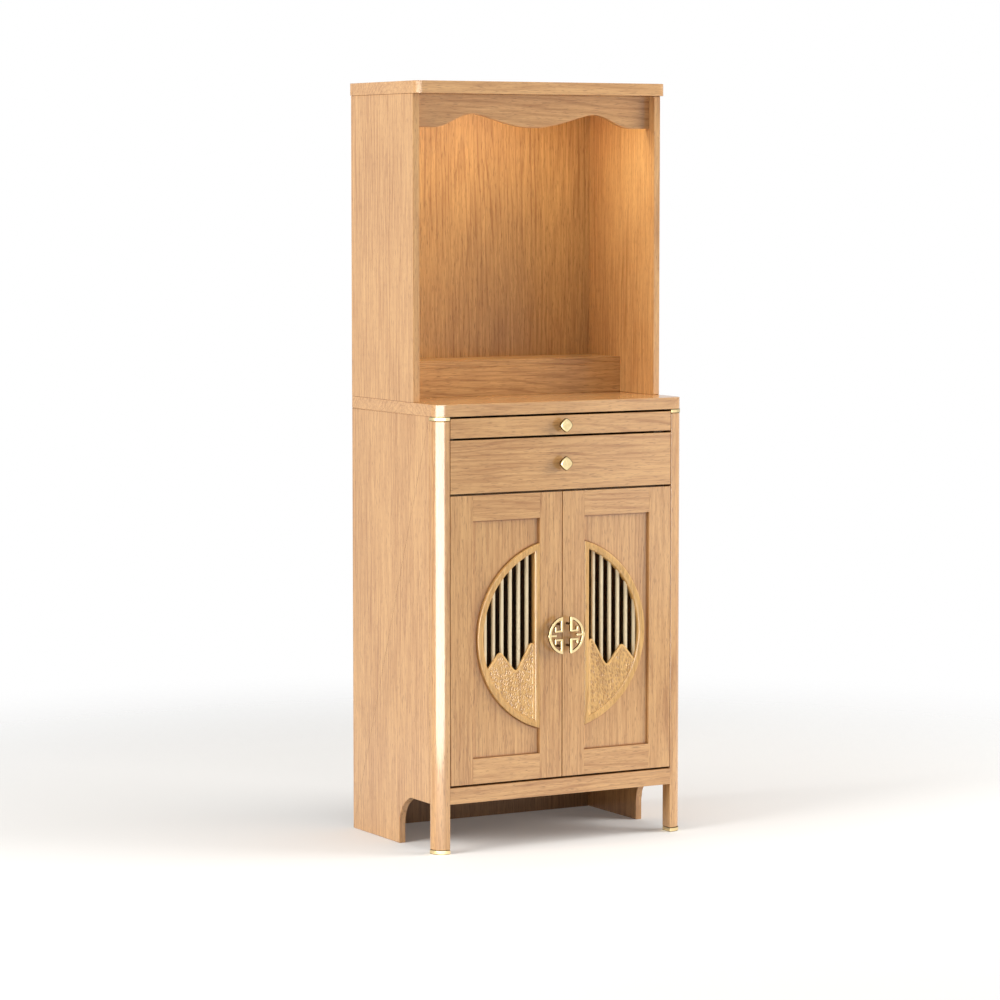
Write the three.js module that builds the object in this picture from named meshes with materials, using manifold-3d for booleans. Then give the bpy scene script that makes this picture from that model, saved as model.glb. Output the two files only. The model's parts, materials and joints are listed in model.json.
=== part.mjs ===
// Household altar cabinet in oak with brass fittings: a two-door base with a drawer and a pull-out
// tray, and an open niche above it. Millimetres, +Z up, -Y is the front, +X is the right-hand side.
// The pieces are laid out from the front plane of the doors (y = 0) and the floor (z = 0). The whole
// cabinet is then moved so that the origin is the middle of its footprint, pulls included.

import * as THREE from 'three';
import * as BufferGeometryUtils from 'three/addons/utils/BufferGeometryUtils.js';
import Module from 'manifold-3d';

const wasm = await Module();
wasm.setup();

// Base carcass
const carcassWidth = 600;
const carcassDepth = 380;
const sideThickness = 15;
const backThickness = 10;
const panelThickness = 15;

// Posts with their brass collars and feet
const postWidth = 31.5;
const postDepth = 30;
const cornerRadius = 25;
const collarHeight = 8.5;
const footHeight = 9;
const brassProud = 1;

// Front, from the floor up
const legClearance = 104;
const railHeight = 34;
const doorHeight = 603;
const drawerFrontHeight = 110.5;
const trayFrontHeight = 40.5;
const counterThickness = 25;
const frontGap = 4.5;
const frontThickness = 20;
const postGap = 1.5;
const doorGap = 2;

// Arch cut into the foot of each side panel
const rearLegDepth = 213;
const archRadius = 64;

// Niche
const nicheHeight = 639;
const nicheSetback = 100;
const capThickness = 26;
const capSideOverhang = 2;
const capFrontOverhang = 20;
const capCornerRadius = 16;
const nicheEdgeRadius = 2.5;
const valanceSetback = 21;
const valanceThickness = 15;
const valanceDrop = 69;
const valanceRise = 28;
const valanceShoulder = 47;
const valancePeakInset = 137;
const valanceSkew = 0.8;
const riserHeight = 77;
const riserDepth = 132;
const riserThickness = 15;
const lightEndGap = 35;
const lightWidth = 18;
const lightHeight = 8;
const lightSetback = 12;

// Doors
const frameWidth = 53;
const panelRecess = 7;
const doorPanelThickness = 8;
const moonStileGap = 11;
const moonRingWidth = 14;
const moonBarWidth = 12;
const moonDepth = 15;
const moonProud = 1.5;
const insertClearance = 0.3;
const slatCount = 6;
const slatWidth = 7;
const slatDepth = 6;
const firstSlatInset = 15;
const lastSlatInset = 8;
const mountainInset = 1;
const mountainThickness = 5.5;

// Mountain outline, as shares of the clear width of the half-moon: across from its bar, and down from
// the middle of the doors
const mountainBarShoulder = { across: 0, down: 0.127 };
const mountainInnerPeak = { across: 0.053, down: 0.069 };
const mountainValley = { across: 0.347, down: 0.576 };
const mountainOuterPeak = { across: 0.67, down: 0.212 };
const mountainRingShoulder = 0.51;
const mountainTip = 0.057;

// Door handles, each half of a pierced disc
const handleReach = 20;
const handleThickness = 7;
const handleRadius = 40;
const handleBand = 6;
const handleSplit = 2.4;
const handleEdge = 9;
const fretBar = 5;
const fretGap = 14;
const fretArm = 19.5;
const fretHook = 7.5;
const tongueLength = 17;
const tongueWidth = 4.4;
const bumpHeight = 14;
const bumpReach = 1.8;
const pegRadius = 3;
const pegSpacing = 46;

// Knobs
const knobReach = 20;
const knobWidth = 30;
const knobThickness = 9;
const knobBevel = 2;
const knobClip = 2.5;
const knobStemRadius = 5;

// Tray, drawer and what carries them
const trayBoardThickness = 12;
const trayBoardLift = 4;
const trayRearGap = 20;
const boxSideClearance = 9;
const runnerWidth = 42;
const runnerHeight = 14;
const slideClearance = 0.5;
const drawerBoxHeight = 88;
const drawerRearGap = 30;
const drawerBoxThickness = 12;
const drawerBottomThickness = 6;
const drawerBottomLift = 6;

// Fineness of the curves
const cornerSegments = 12;
const ringSegments = 56;
const waveSegments = 14;
const tipSegments = 5;

// Places that follow from the sizes
const halfWidth = carcassWidth / 2;
const innerHalfWidth = halfWidth - sideThickness;
const postInner = halfWidth - postWidth;
const frontHalfWidth = postInner - postGap;
const backInner = carcassDepth - backThickness;
const railTop = legClearance + railHeight;
const doorBottom = railTop + frontGap;
const doorTop = doorBottom + doorHeight;
const drawerBottom = doorTop + frontGap;
const drawerTop = drawerBottom + drawerFrontHeight;
const trayBottom = drawerTop + frontGap;
const trayTop = trayBottom + trayFrontHeight;
const counterUnderside = trayTop + frontGap;
const counterTop = counterUnderside + counterThickness;
const capUnderside = counterTop + nicheHeight;
const capTop = capUnderside + capThickness;
const dividerTop = (doorTop + drawerBottom) / 2 + panelThickness / 2;
const doorCentre = (doorBottom + doorTop) / 2;
const openingInner = doorGap / 2 + frameWidth;
const openingOuter = frontHalfWidth - frameWidth;
const moonRadius = openingOuter - moonStileGap;
const moonInner = openingInner + moonBarWidth;
const moonInnerRadius = moonRadius - moonRingWidth;
const boxHalfWidth = frontHalfWidth - boxSideClearance;
const drawerBoxBottom = dividerTop + slideClearance;
const trayBoardBottom = trayBottom + trayBoardLift;
const riserFace = backInner - riserDepth;
const frontMost = -Math.max(handleReach, knobReach);
const footprintCentre = (frontMost + carcassDepth) / 2;

function oak() {
  return new THREE.MeshStandardMaterial({ color: 0xcfa06a, roughness: 0.55, metalness: 0 });
}

function goldenOak() {
  return new THREE.MeshStandardMaterial({ color: 0xd9a95f, roughness: 0.5, metalness: 0 });
}

function brass() {
  return new THREE.MeshStandardMaterial({ color: 0xe3c27a, roughness: 0.28, metalness: 1 });
}

function warmDiffuser() {
  return new THREE.MeshStandardMaterial({ color: 0xfff1d0, roughness: 0.6, metalness: 0 });
}

function named(name, geometry, material) {
  const mesh = new THREE.Mesh(geometry, material);
  mesh.name = name;
  return mesh;
}

// A rectangular board between two corners.
function board(name, material, [x0, x1], [y0, y1], [z0, z1]) {
  const mesh = named(name, new THREE.BoxGeometry(x1 - x0, y1 - y0, z1 - z0), material);
  mesh.position.set((x0 + x1) / 2, (y0 + y1) / 2, (z0 + z1) / 2);
  return mesh;
}

// The span from a to b on the left (side -1) or right (side 1) of the centre line, lower end first.
function sideSpan(side, a, b) {
  return side > 0 ? [a, b] : [-b, -a];
}

function sideName(side) {
  return side > 0 ? 'right' : 'left';
}

// Points along a circle from one angle to another.
function arcPoints(centreU, centreV, radius, from, to, segments) {
  const points = [];
  for (let i = 0; i <= segments; i += 1) {
    const angle = from + (to - from) * i / segments;
    points.push(new THREE.Vector2(centreU + radius * Math.cos(angle), centreV + radius * Math.sin(angle)));
  }
  return points;
}

// An outline as it is on the right, or its mirror image on the left, turning the same way.
function mirrored(points, side) {
  if (side > 0) {
    return points;
  }
  return points.map((point) => new THREE.Vector2(-point.x, point.y)).reverse();
}

// A plan outline, drawn in x and y, raised from z0 to z1.
function raisePlan(shape, z0, z1) {
  const geometry = new THREE.ExtrudeGeometry(shape, { depth: z1 - z0, bevelEnabled: false });
  return geometry.translate(0, 0, z0);
}

// A front outline, drawn in x and z, that fills the depth from y0 to y1.
function fillFront(shape, y0, y1) {
  const geometry = new THREE.ExtrudeGeometry(shape, { depth: y1 - y0, bevelEnabled: false });
  const turn = new THREE.Matrix4().makeBasis(
    new THREE.Vector3(1, 0, 0),
    new THREE.Vector3(0, 0, 1),
    new THREE.Vector3(0, -1, 0),
  );
  return geometry.applyMatrix4(turn).translate(0, y1, 0);
}

// A side outline, drawn in y and z, that fills the width from x0 to x1.
function fillSide(shape, x0, x1) {
  const geometry = new THREE.ExtrudeGeometry(shape, { depth: x1 - x0, bevelEnabled: false });
  const turn = new THREE.Matrix4().makeBasis(
    new THREE.Vector3(0, 1, 0),
    new THREE.Vector3(0, 0, 1),
    new THREE.Vector3(1, 0, 0),
  );
  return geometry.applyMatrix4(turn).translate(x0, 0, 0);
}

// A closed geometry as a solid that can be joined and cut.
function toSolid(geometry) {
  const bare = geometry.clone();
  bare.deleteAttribute('normal');
  bare.deleteAttribute('uv');
  const merged = BufferGeometryUtils.mergeVertices(bare, 1e-4);
  const mesh = new wasm.Mesh({
    numProp: 3,
    vertProperties: new Float32Array(merged.attributes.position.array),
    triVerts: new Uint32Array(merged.index.array),
  });
  return new wasm.Manifold(mesh);
}

function toGeometry(solid) {
  const mesh = solid.getMesh();
  const geometry = new THREE.BufferGeometry();
  geometry.setAttribute('position', new THREE.BufferAttribute(mesh.vertProperties, 3));
  geometry.setIndex(new THREE.BufferAttribute(mesh.triVerts, 1));
  geometry.computeVertexNormals();
  return geometry;
}

function joined(geometries) {
  return toGeometry(geometries.map(toSolid).reduce((whole, piece) => whole.add(piece)));
}

// Plan of a board with both front corners rounded.
function roundedFrontPlan(half, front, back, radius) {
  const centre = front + radius;
  const right = arcPoints(half - radius, centre, radius, 1.5 * Math.PI, 2 * Math.PI, cornerSegments);
  return new THREE.Shape([
    new THREE.Vector2(-half, back),
    ...mirrored(right, -1),
    ...right,
    new THREE.Vector2(half, back),
  ]);
}

// Plan of an upright with its outer front corner rounded, grown outwards and forwards by proud.
function cornerPlan(side, inner, outer, front, back, radius, proud) {
  const corner = arcPoints(
    outer - radius,
    front + radius,
    radius + proud,
    1.5 * Math.PI,
    2 * Math.PI,
    cornerSegments,
  );
  const points = [
    new THREE.Vector2(inner, back),
    new THREE.Vector2(inner, front - proud),
    ...corner,
    new THREE.Vector2(outer + proud, back),
  ];
  return new THREE.Shape(mirrored(points, side));
}

function post(side) {
  const plan = cornerPlan(side, postInner, halfWidth, 0, postDepth, cornerRadius, 0);
  const geometry = raisePlan(plan, footHeight, counterUnderside - collarHeight);
  return named(`front_${sideName(side)}_post`, geometry, oak());
}

function postCollar(side) {
  const plan = cornerPlan(side, postInner, halfWidth, 0, postDepth, cornerRadius, brassProud);
  const geometry = raisePlan(plan, counterUnderside - collarHeight, counterUnderside);
  return named(`${sideName(side)}_post_collar`, geometry, brass());
}

function postFoot(side) {
  const plan = cornerPlan(side, postInner, halfWidth, 0, postDepth, cornerRadius, brassProud);
  return named(`${sideName(side)}_post_foot`, raisePlan(plan, 0, footHeight), brass());
}

// Side of the base, with an arch between the post and the rear leg.
function lowerSide(side) {
  const legFront = carcassDepth - rearLegDepth;
  const arch = arcPoints(
    legFront - archRadius,
    legClearance - archRadius,
    archRadius,
    Math.PI / 2,
    0,
    cornerSegments,
  );
  const outline = new THREE.Shape([
    new THREE.Vector2(postDepth, counterUnderside),
    new THREE.Vector2(postDepth, legClearance),
    ...arch,
    new THREE.Vector2(legFront, 0),
    new THREE.Vector2(carcassDepth, 0),
    new THREE.Vector2(carcassDepth, counterUnderside),
  ]);
  const [x0, x1] = sideSpan(side, innerHalfWidth, halfWidth);
  return named(`lower_${sideName(side)}_side`, fillSide(outline, x0, x1), oak());
}

function lowerBack() {
  const width = [-innerHalfWidth, innerHalfWidth];
  return board('lower_back_panel', oak(), width, [backInner, carcassDepth], [0, counterUnderside]);
}

function bottomRail() {
  return board('bottom_rail', oak(), [-postInner, postInner], [0, postDepth], [legClearance, railTop]);
}

function bottomPanel() {
  const width = [-innerHalfWidth, innerHalfWidth];
  return board('bottom_panel', oak(), width, [postDepth, backInner], [railTop - panelThickness, railTop]);
}

// Level panel between the door space and the drawer, which slides on it.
function dividerPanel() {
  const width = [-innerHalfWidth, innerHalfWidth];
  const height = [dividerTop - panelThickness, dividerTop];
  return board('divider_panel', oak(), width, [postDepth, backInner], height);
}

function trayRunner(side) {
  const width = sideSpan(side, innerHalfWidth - runnerWidth, innerHalfWidth);
  const top = trayBoardBottom - slideClearance;
  const height = [top - runnerHeight, top];
  return board(`${sideName(side)}_tray_runner`, oak(), width, [postDepth, backInner], height);
}

function counterBoard() {
  const plan = roundedFrontPlan(halfWidth, 0, carcassDepth, cornerRadius);
  return named('counter_board', raisePlan(plan, counterUnderside, counterTop), oak());
}

function baseCarcass() {
  const group = new THREE.Group();
  for (const side of [-1, 1]) {
    group.add(post(side), postCollar(side), postFoot(side), lowerSide(side), trayRunner(side));
  }
  group.add(lowerBack(), bottomRail(), bottomPanel(), dividerPanel(), counterBoard());
  return group;
}

function upperSide(side) {
  const plan = cornerPlan(side, innerHalfWidth, halfWidth, nicheSetback, carcassDepth, nicheEdgeRadius, 0);
  return named(`upper_${sideName(side)}_side`, raisePlan(plan, counterTop, capUnderside), oak());
}

function upperBack() {
  const width = [-innerHalfWidth, innerHalfWidth];
  return board('upper_back_panel', oak(), width, [backInner, carcassDepth], [counterTop, capUnderside]);
}

function capBoard() {
  const plan = roundedFrontPlan(
    halfWidth + capSideOverhang,
    nicheSetback - capFrontOverhang,
    carcassDepth,
    capCornerRadius,
  );
  return named('cap_board', raisePlan(plan, capUnderside, capTop), oak());
}

// Lower edge of the valance on one side: flat at the shoulder, a cosine rise to the peak, and a
// cosine fall to the middle that is a little steeper near the peak.
function valanceEdge() {
  const low = capUnderside - valanceDrop;
  const shoulder = innerHalfWidth - valanceShoulder;
  const peak = innerHalfWidth - valancePeakInset;
  const points = [new THREE.Vector2(innerHalfWidth, low)];
  for (let i = 0; i <= waveSegments; i += 1) {
    const t = i / waveSegments;
    const up = (1 - Math.cos(Math.PI * t)) / 2;
    points.push(new THREE.Vector2(shoulder + (peak - shoulder) * t, low + valanceRise * up));
  }
  for (let i = 1; i <= waveSegments; i += 1) {
    const t = i / waveSegments;
    const down = (1 - Math.cos(Math.PI * t ** valanceSkew)) / 2;
    points.push(new THREE.Vector2(peak * (1 - t), low + valanceRise * (1 - down)));
  }
  return points;
}

function valance() {
  const right = valanceEdge();
  const left = mirrored(right.slice(0, -1), -1);
  const outline = new THREE.Shape([
    new THREE.Vector2(innerHalfWidth, capUnderside),
    ...right,
    ...left,
    new THREE.Vector2(-innerHalfWidth, capUnderside),
  ]);
  const front = nicheSetback + valanceSetback;
  return named('valance', fillFront(outline, front, front + valanceThickness), oak());
}

// Slim lamp under the cap, hidden behind the valance.
function nicheLight() {
  const front = nicheSetback + valanceSetback + valanceThickness + lightSetback;
  return board(
    'niche_light',
    warmDiffuser(),
    [lightEndGap - innerHalfWidth, innerHalfWidth - lightEndGap],
    [front, front + lightWidth],
    [capUnderside - lightHeight, capUnderside],
  );
}

function riserFront() {
  const top = counterTop + riserHeight - riserThickness;
  const width = [-innerHalfWidth, innerHalfWidth];
  return board('riser_front', oak(), width, [riserFace, riserFace + riserThickness], [counterTop, top]);
}

function riserTop() {
  const top = counterTop + riserHeight;
  const width = [-innerHalfWidth, innerHalfWidth];
  return board('riser_top', oak(), width, [riserFace, backInner], [top - riserThickness, top]);
}

function niche() {
  const group = new THREE.Group();
  group.add(upperSide(-1), upperSide(1), upperBack(), capBoard());
  group.add(valance(), nicheLight(), riserFront(), riserTop());
  return group;
}

// Square brass knob set on its corner, with clipped tips and a round stem.
function knob(name, height) {
  const tip = knobWidth / 2 - knobBevel;
  const face = new THREE.Shape();
  face.moveTo(tip, -knobClip);
  face.lineTo(tip, knobClip);
  face.lineTo(knobClip, tip);
  face.lineTo(-knobClip, tip);
  face.lineTo(-tip, knobClip);
  face.lineTo(-tip, -knobClip);
  face.lineTo(-knobClip, -tip);
  face.lineTo(knobClip, -tip);
  const head = new THREE.ExtrudeGeometry(face, {
    depth: knobThickness - 2 * knobBevel,
    bevelEnabled: true,
    bevelThickness: knobBevel,
    bevelSize: knobBevel,
    bevelSegments: 1,
  });
  head.rotateX(Math.PI / 2).translate(0, knobThickness - knobBevel - knobReach, height);
  const stemLength = knobReach - knobThickness / 2;
  const stem = new THREE.CylinderGeometry(knobStemRadius, knobStemRadius, stemLength, 2 * cornerSegments);
  stem.translate(0, -stemLength / 2, height);
  return named(name, joined([head, stem]), brass());
}

function frontBoard(name, z0, z1) {
  return board(name, oak(), [-frontHalfWidth, frontHalfWidth], [0, frontThickness], [z0, z1]);
}

function tray() {
  const group = new THREE.Group();
  const depth = [frontThickness, backInner - trayRearGap];
  const height = [trayBoardBottom, trayBoardBottom + trayBoardThickness];
  group.add(frontBoard('tray_front', trayBottom, trayTop));
  group.add(board('tray_board', oak(), [-boxHalfWidth, boxHalfWidth], depth, height));
  group.add(knob('tray_knob', (trayBottom + trayTop) / 2));
  return group;
}

function drawer() {
  const group = new THREE.Group();
  const back = backInner - drawerRearGap;
  const inner = boxHalfWidth - drawerBoxThickness;
  const height = [drawerBoxBottom, drawerBoxBottom + drawerBoxHeight];
  const floor = drawerBoxBottom + drawerBottomLift;
  group.add(frontBoard('drawer_front', drawerBottom, drawerTop));
  for (const side of [-1, 1]) {
    const width = sideSpan(side, inner, boxHalfWidth);
    group.add(board(`drawer_${sideName(side)}_side`, oak(), width, [frontThickness, back], height));
  }
  group.add(board('drawer_back', oak(), [-inner, inner], [back - drawerBoxThickness, back], height));
  group.add(board(
    'drawer_bottom',
    oak(),
    [-inner, inner],
    [frontThickness, back - drawerBoxThickness],
    [floor, floor + drawerBottomThickness],
  ));
  group.add(knob('drawer_knob', (drawerBottom + drawerTop) / 2));
  return group;
}

// Angle at which a circle about the door centre reaches the distance x from the centre line.
function moonAngle(x, radius) {
  return Math.acos(x / radius);
}

// Half-moon between an upright line at x and a circle about the middle of both doors.
function moonOutline(x, radius) {
  const angle = moonAngle(x, radius);
  return arcPoints(0, doorCentre, radius, -angle, angle, ringSegments);
}

// Flat door panel, cut away where the half-moon insert stands.
function doorPanel(side) {
  const cut = moonOutline(openingInner, moonRadius + insertClearance);
  const outline = new THREE.Shape(mirrored([
    new THREE.Vector2(openingOuter, doorTop - frameWidth),
    new THREE.Vector2(openingOuter, doorBottom + frameWidth),
    new THREE.Vector2(openingInner, doorBottom + frameWidth),
    ...cut,
    new THREE.Vector2(openingInner, doorTop - frameWidth),
  ], side));
  const geometry = fillFront(outline, panelRecess, panelRecess + doorPanelThickness);
  return named(`${sideName(side)}_door_panel`, geometry, oak());
}

// Moulding round the half-moon, which stands a little proud of the stiles.
function moonFrame(side) {
  const outline = new THREE.Shape(mirrored(moonOutline(openingInner, moonRadius), side));
  const hole = mirrored(moonOutline(moonInner, moonInnerRadius), side);
  outline.holes.push(new THREE.Path(hole));
  return named(`${sideName(side)}_moon_frame`, fillFront(outline, -moonProud, moonDepth), goldenOak());
}

// Upright round-fronted slat, cut to the curve of the ring at both ends.
function slat(side, index) {
  const first = moonInner + firstSlatInset;
  const last = moonInnerRadius - lastSlatInset;
  const centre = side * (first + (last - first) * index / (slatCount - 1));
  const front = mountainInset + mountainThickness + insertClearance;
  const radius = slatWidth / 2;
  const nose = arcPoints(centre, front + radius, radius, Math.PI, 2 * Math.PI, cornerSegments);
  const plan = new THREE.Shape([
    ...nose,
    new THREE.Vector2(centre + radius, front + slatDepth),
    new THREE.Vector2(centre - radius, front + slatDepth),
  ]);
  const bar = toSolid(raisePlan(plan, doorCentre - moonRadius, doorCentre + moonRadius));
  const discRadius = moonInnerRadius - insertClearance;
  const disc = new THREE.CylinderGeometry(discRadius, discRadius, frontThickness, 2 * ringSegments);
  disc.translate(0, frontThickness / 2, doorCentre);
  const geometry = toGeometry(bar.intersect(toSolid(disc)));
  return named(`${sideName(side)}_slat_${index + 1}`, geometry, goldenOak());
}

// Curve that rounds off a tip between two straight slopes.
function softTip(before, tip, after, reach) {
  const start = tip.clone().add(before.clone().sub(tip).setLength(reach));
  const end = tip.clone().add(after.clone().sub(tip).setLength(reach));
  return new THREE.QuadraticBezierCurve(start, tip, end).getPoints(tipSegments);
}

// Board carved as two mountain peaks, which fills the lower part of the half-moon.
function mountainBoard(side) {
  const radius = moonInnerRadius - insertClearance;
  const inner = moonInner + insertClearance;
  const span = radius - inner;
  const place = ({ across, down }) => new THREE.Vector2(inner + across * span, doorCentre - down * span);
  const tipReach = mountainTip * span;
  const barShoulder = place(mountainBarShoulder);
  const innerPeak = place(mountainInnerPeak);
  const valley = place(mountainValley);
  const outerPeak = place(mountainOuterPeak);
  const ringAngle = -Math.asin(mountainRingShoulder * span / radius);
  const ring = arcPoints(0, doorCentre, radius, -moonAngle(inner, radius), ringAngle, ringSegments / 2);
  const ringShoulder = ring[ring.length - 1];
  const outline = new THREE.Shape(mirrored([
    ...ring,
    ...softTip(ringShoulder, outerPeak, valley, tipReach),
    ...softTip(outerPeak, valley, innerPeak, tipReach),
    ...softTip(valley, innerPeak, barShoulder, tipReach),
    barShoulder,
  ], side));
  const geometry = fillFront(outline, mountainInset, mountainInset + mountainThickness);
  return named(`${sideName(side)}_mountain_board`, geometry, goldenOak());
}

// A bar of the handle's fret, from u0 to u1 across and v0 to v1 up from the handle's centre.
function fretBlock(side, [u0, u1], [v0, v1]) {
  const [x0, x1] = sideSpan(side, u0, u1);
  const geometry = new THREE.BoxGeometry(x1 - x0, handleThickness, v1 - v0);
  return geometry.translate((x0 + x1) / 2, handleThickness / 2 - handleReach, doorCentre + (v0 + v1) / 2);
}

// Half-disc beyond the straight edge at u, as part of a circle pushed away from the centre line.
function handleHalfDisc(side, u, radius) {
  const angle = Math.acos((u - handleSplit) / radius);
  const points = arcPoints(handleSplit, doorCentre, radius, -angle, angle, ringSegments / 2);
  return new THREE.Shape(mirrored(points, side));
}

function handlePeg(side, height) {
  const length = handleReach - handleThickness / 2;
  const peg = new THREE.CylinderGeometry(pegRadius, pegRadius, length, cornerSegments);
  return peg.translate(side * (handleEdge + handleBand / 2), -length / 2, doorCentre + height);
}

// Half of a pierced disc: an outer band, a straight edge open in the middle, and two hooked arms
// with a tongue between them, on two pegs.
function handle(side) {
  const outline = handleHalfDisc(side, handleEdge, handleRadius);
  const opening = handleHalfDisc(side, handleEdge + handleBand, handleRadius - handleBand);
  outline.holes.push(opening);
  const back = handleThickness - handleReach;
  const band = toSolid(fillFront(outline, -handleReach, back));
  const gap = toSolid(fretBlock(side, [0, handleEdge + handleBand], [-fretGap / 2, fretGap / 2]));
  const rim = handleSplit + handleRadius;
  const rimMiddle = rim - handleBand / 2;
  const pieces = [
    fretBlock(side, [rimMiddle - tongueLength, rimMiddle], [-tongueWidth / 2, tongueWidth / 2]),
    fretBlock(side, [rimMiddle, rim + bumpReach], [-bumpHeight / 2, bumpHeight / 2]),
    handlePeg(side, -pegSpacing / 2),
    handlePeg(side, pegSpacing / 2),
  ];
  const armEnd = handleEdge + fretArm;
  const armFoot = fretGap / 2;
  const armTop = armFoot + fretBar;
  for (const half of [-1, 1]) {
    pieces.push(fretBlock(side, [handleEdge, armEnd], sideSpan(half, armFoot, armTop)));
    pieces.push(fretBlock(side, [armEnd - fretBar, armEnd], sideSpan(half, armFoot, armTop + fretHook)));
  }
  const solid = pieces.map(toSolid).reduce((whole, piece) => whole.add(piece), band.subtract(gap));
  return named(`${sideName(side)}_door_handle`, toGeometry(solid), brass());
}

function door(side) {
  const group = new THREE.Group();
  const name = sideName(side);
  const depth = [0, frontThickness];
  const height = [doorBottom, doorTop];
  const inner = sideSpan(side, doorGap / 2, openingInner);
  const outer = sideSpan(side, openingOuter, frontHalfWidth);
  const between = sideSpan(side, openingInner, openingOuter);
  const topRail = [doorTop - frameWidth, doorTop];
  const lowRail = [doorBottom, doorBottom + frameWidth];
  group.add(board(`${name}_door_inner_stile`, oak(), inner, depth, height));
  group.add(board(`${name}_door_outer_stile`, oak(), outer, depth, height));
  group.add(board(`${name}_door_top_rail`, oak(), between, depth, topRail));
  group.add(board(`${name}_door_bottom_rail`, oak(), between, depth, lowRail));
  group.add(doorPanel(side), moonFrame(side), mountainBoard(side), handle(side));
  for (let index = 0; index < slatCount; index += 1) {
    group.add(slat(side, index));
  }
  return group;
}

const cabinet = new THREE.Group();
cabinet.add(baseCarcass(), niche(), tray(), drawer(), door(-1), door(1));
cabinet.position.y = -footprintCentre;

export default cabinet;
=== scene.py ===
# %% [markdown]
# # A household altar cabinet in oak and brass
# The real cabinet is a tall stack of two boxes: a base with two doors, a drawer and a pull-out tray, and
# an open niche above it under a scalloped valance. Every piece is a board, a moulding, a carving or a
# small casting. The frame that is loaded here already has each of them as a plain solid in its place, so
# this script only has to give each one its eased edges, its carving and its finish.

# %% Load the frame
import json
import math

import bpy
import numpy as np
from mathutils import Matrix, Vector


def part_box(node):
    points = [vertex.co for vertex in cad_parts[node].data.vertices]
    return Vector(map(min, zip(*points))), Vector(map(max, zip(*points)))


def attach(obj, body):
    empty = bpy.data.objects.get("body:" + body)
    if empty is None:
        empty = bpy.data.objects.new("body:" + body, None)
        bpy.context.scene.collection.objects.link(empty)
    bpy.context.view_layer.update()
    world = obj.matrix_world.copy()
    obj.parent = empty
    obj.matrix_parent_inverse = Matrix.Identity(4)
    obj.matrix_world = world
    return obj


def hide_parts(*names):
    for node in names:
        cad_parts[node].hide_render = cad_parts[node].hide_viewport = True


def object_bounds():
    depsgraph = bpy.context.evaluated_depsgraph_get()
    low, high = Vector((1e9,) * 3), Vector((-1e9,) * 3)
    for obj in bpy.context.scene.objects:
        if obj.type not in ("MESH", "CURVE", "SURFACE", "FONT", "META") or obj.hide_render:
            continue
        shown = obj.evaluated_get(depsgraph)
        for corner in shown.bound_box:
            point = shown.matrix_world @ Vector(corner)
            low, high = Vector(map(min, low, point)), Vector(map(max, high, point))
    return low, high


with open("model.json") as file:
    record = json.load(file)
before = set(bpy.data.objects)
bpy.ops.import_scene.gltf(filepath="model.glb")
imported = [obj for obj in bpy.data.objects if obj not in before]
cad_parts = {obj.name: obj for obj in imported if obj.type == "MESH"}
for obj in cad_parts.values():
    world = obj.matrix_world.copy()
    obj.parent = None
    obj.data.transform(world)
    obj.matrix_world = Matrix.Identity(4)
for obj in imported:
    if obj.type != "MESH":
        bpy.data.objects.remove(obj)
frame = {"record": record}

cad_box = [list(corner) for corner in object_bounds()]
bodies = frame["record"]["behaviour"]["bodies"]
body_of_node = {node: body for body, nodes in bodies.items() for node in nodes}
print("frame:", len(body_of_node), "nodes, box", cad_box)

# %% [markdown]
# ## The camera
# The viewpoint was found from the straight edges of the real cabinet: a long lens a little above its
# middle, standing to the left of its front. A long lens keeps the upright edges nearly parallel, which is
# how furniture is usually shown. The focal length is given in pixels of the square picture, and is turned
# into millimetres on Blender's usual sensor.

# %% Camera
MM = 0.001
PICTURE_WIDTH = 1000
FOCAL_PIXELS = 3654.83
SENSOR_MM = 36.0
CAMERA_PLACE = (-3.85746, -6.76514, 1.39317)
CAMERA_TURN = 29.379
CAMERA_DIP = 4.9857

camera = bpy.data.objects.new("camera", bpy.data.cameras.new("camera"))
bpy.context.scene.collection.objects.link(camera)
camera.data.sensor_width = SENSOR_MM
camera.data.lens = FOCAL_PIXELS * SENSOR_MM / PICTURE_WIDTH
camera.location = CAMERA_PLACE
camera.rotation_euler = (math.radians(90 - CAMERA_DIP), 0, math.radians(-CAMERA_TURN))
bpy.context.scene.camera = camera
print("camera: lens", round(camera.data.lens, 2), "mm")

# %% [markdown]
# ## A short way to write shader nodes
# Materials are graphs of small nodes. The helpers keep them readable: the first makes a node and fills its
# inputs, with a link wherever the value is another node's output. The others are the few sums that every
# material here is made of: arithmetic, noise, a range and a mix of two colours.

# %% Node helpers


def add_node(tree, kind, inputs=None, **fields):
    """A shader node of that kind. A value in inputs is a constant, or a socket that is linked."""
    node = tree.nodes.new(kind)
    for field, value in fields.items():
        setattr(node, field, value)
    for key, value in (inputs or {}).items():
        if isinstance(value, bpy.types.NodeSocket):
            tree.links.new(value, node.inputs[key])
        else:
            node.inputs[key].default_value = value
    return node


def calculate(tree, operation, *values, clamp=False):
    """The output of a Math node on one, two or three values."""
    node = add_node(tree, "ShaderNodeMath", dict(enumerate(values)), operation=operation, use_clamp=clamp)
    return node.outputs[0]


def stretched(tree, vector, scale):
    """The vector with each component multiplied by its own scale."""
    node = add_node(tree, "ShaderNodeVectorMath", {0: vector, 1: scale}, operation="MULTIPLY")
    return node.outputs[0]


def noise(tree, vector, seed, detail=2.0, roughness=0.5):
    """Cloudy noise from 0 to 1. The seed is the fourth coordinate, so each board has its own clouds."""
    inputs = {"Vector": vector, "W": seed, "Scale": 1.0, "Detail": detail, "Roughness": roughness}
    return add_node(tree, "ShaderNodeTexNoise", inputs, noise_dimensions="4D").outputs["Fac"]


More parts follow.
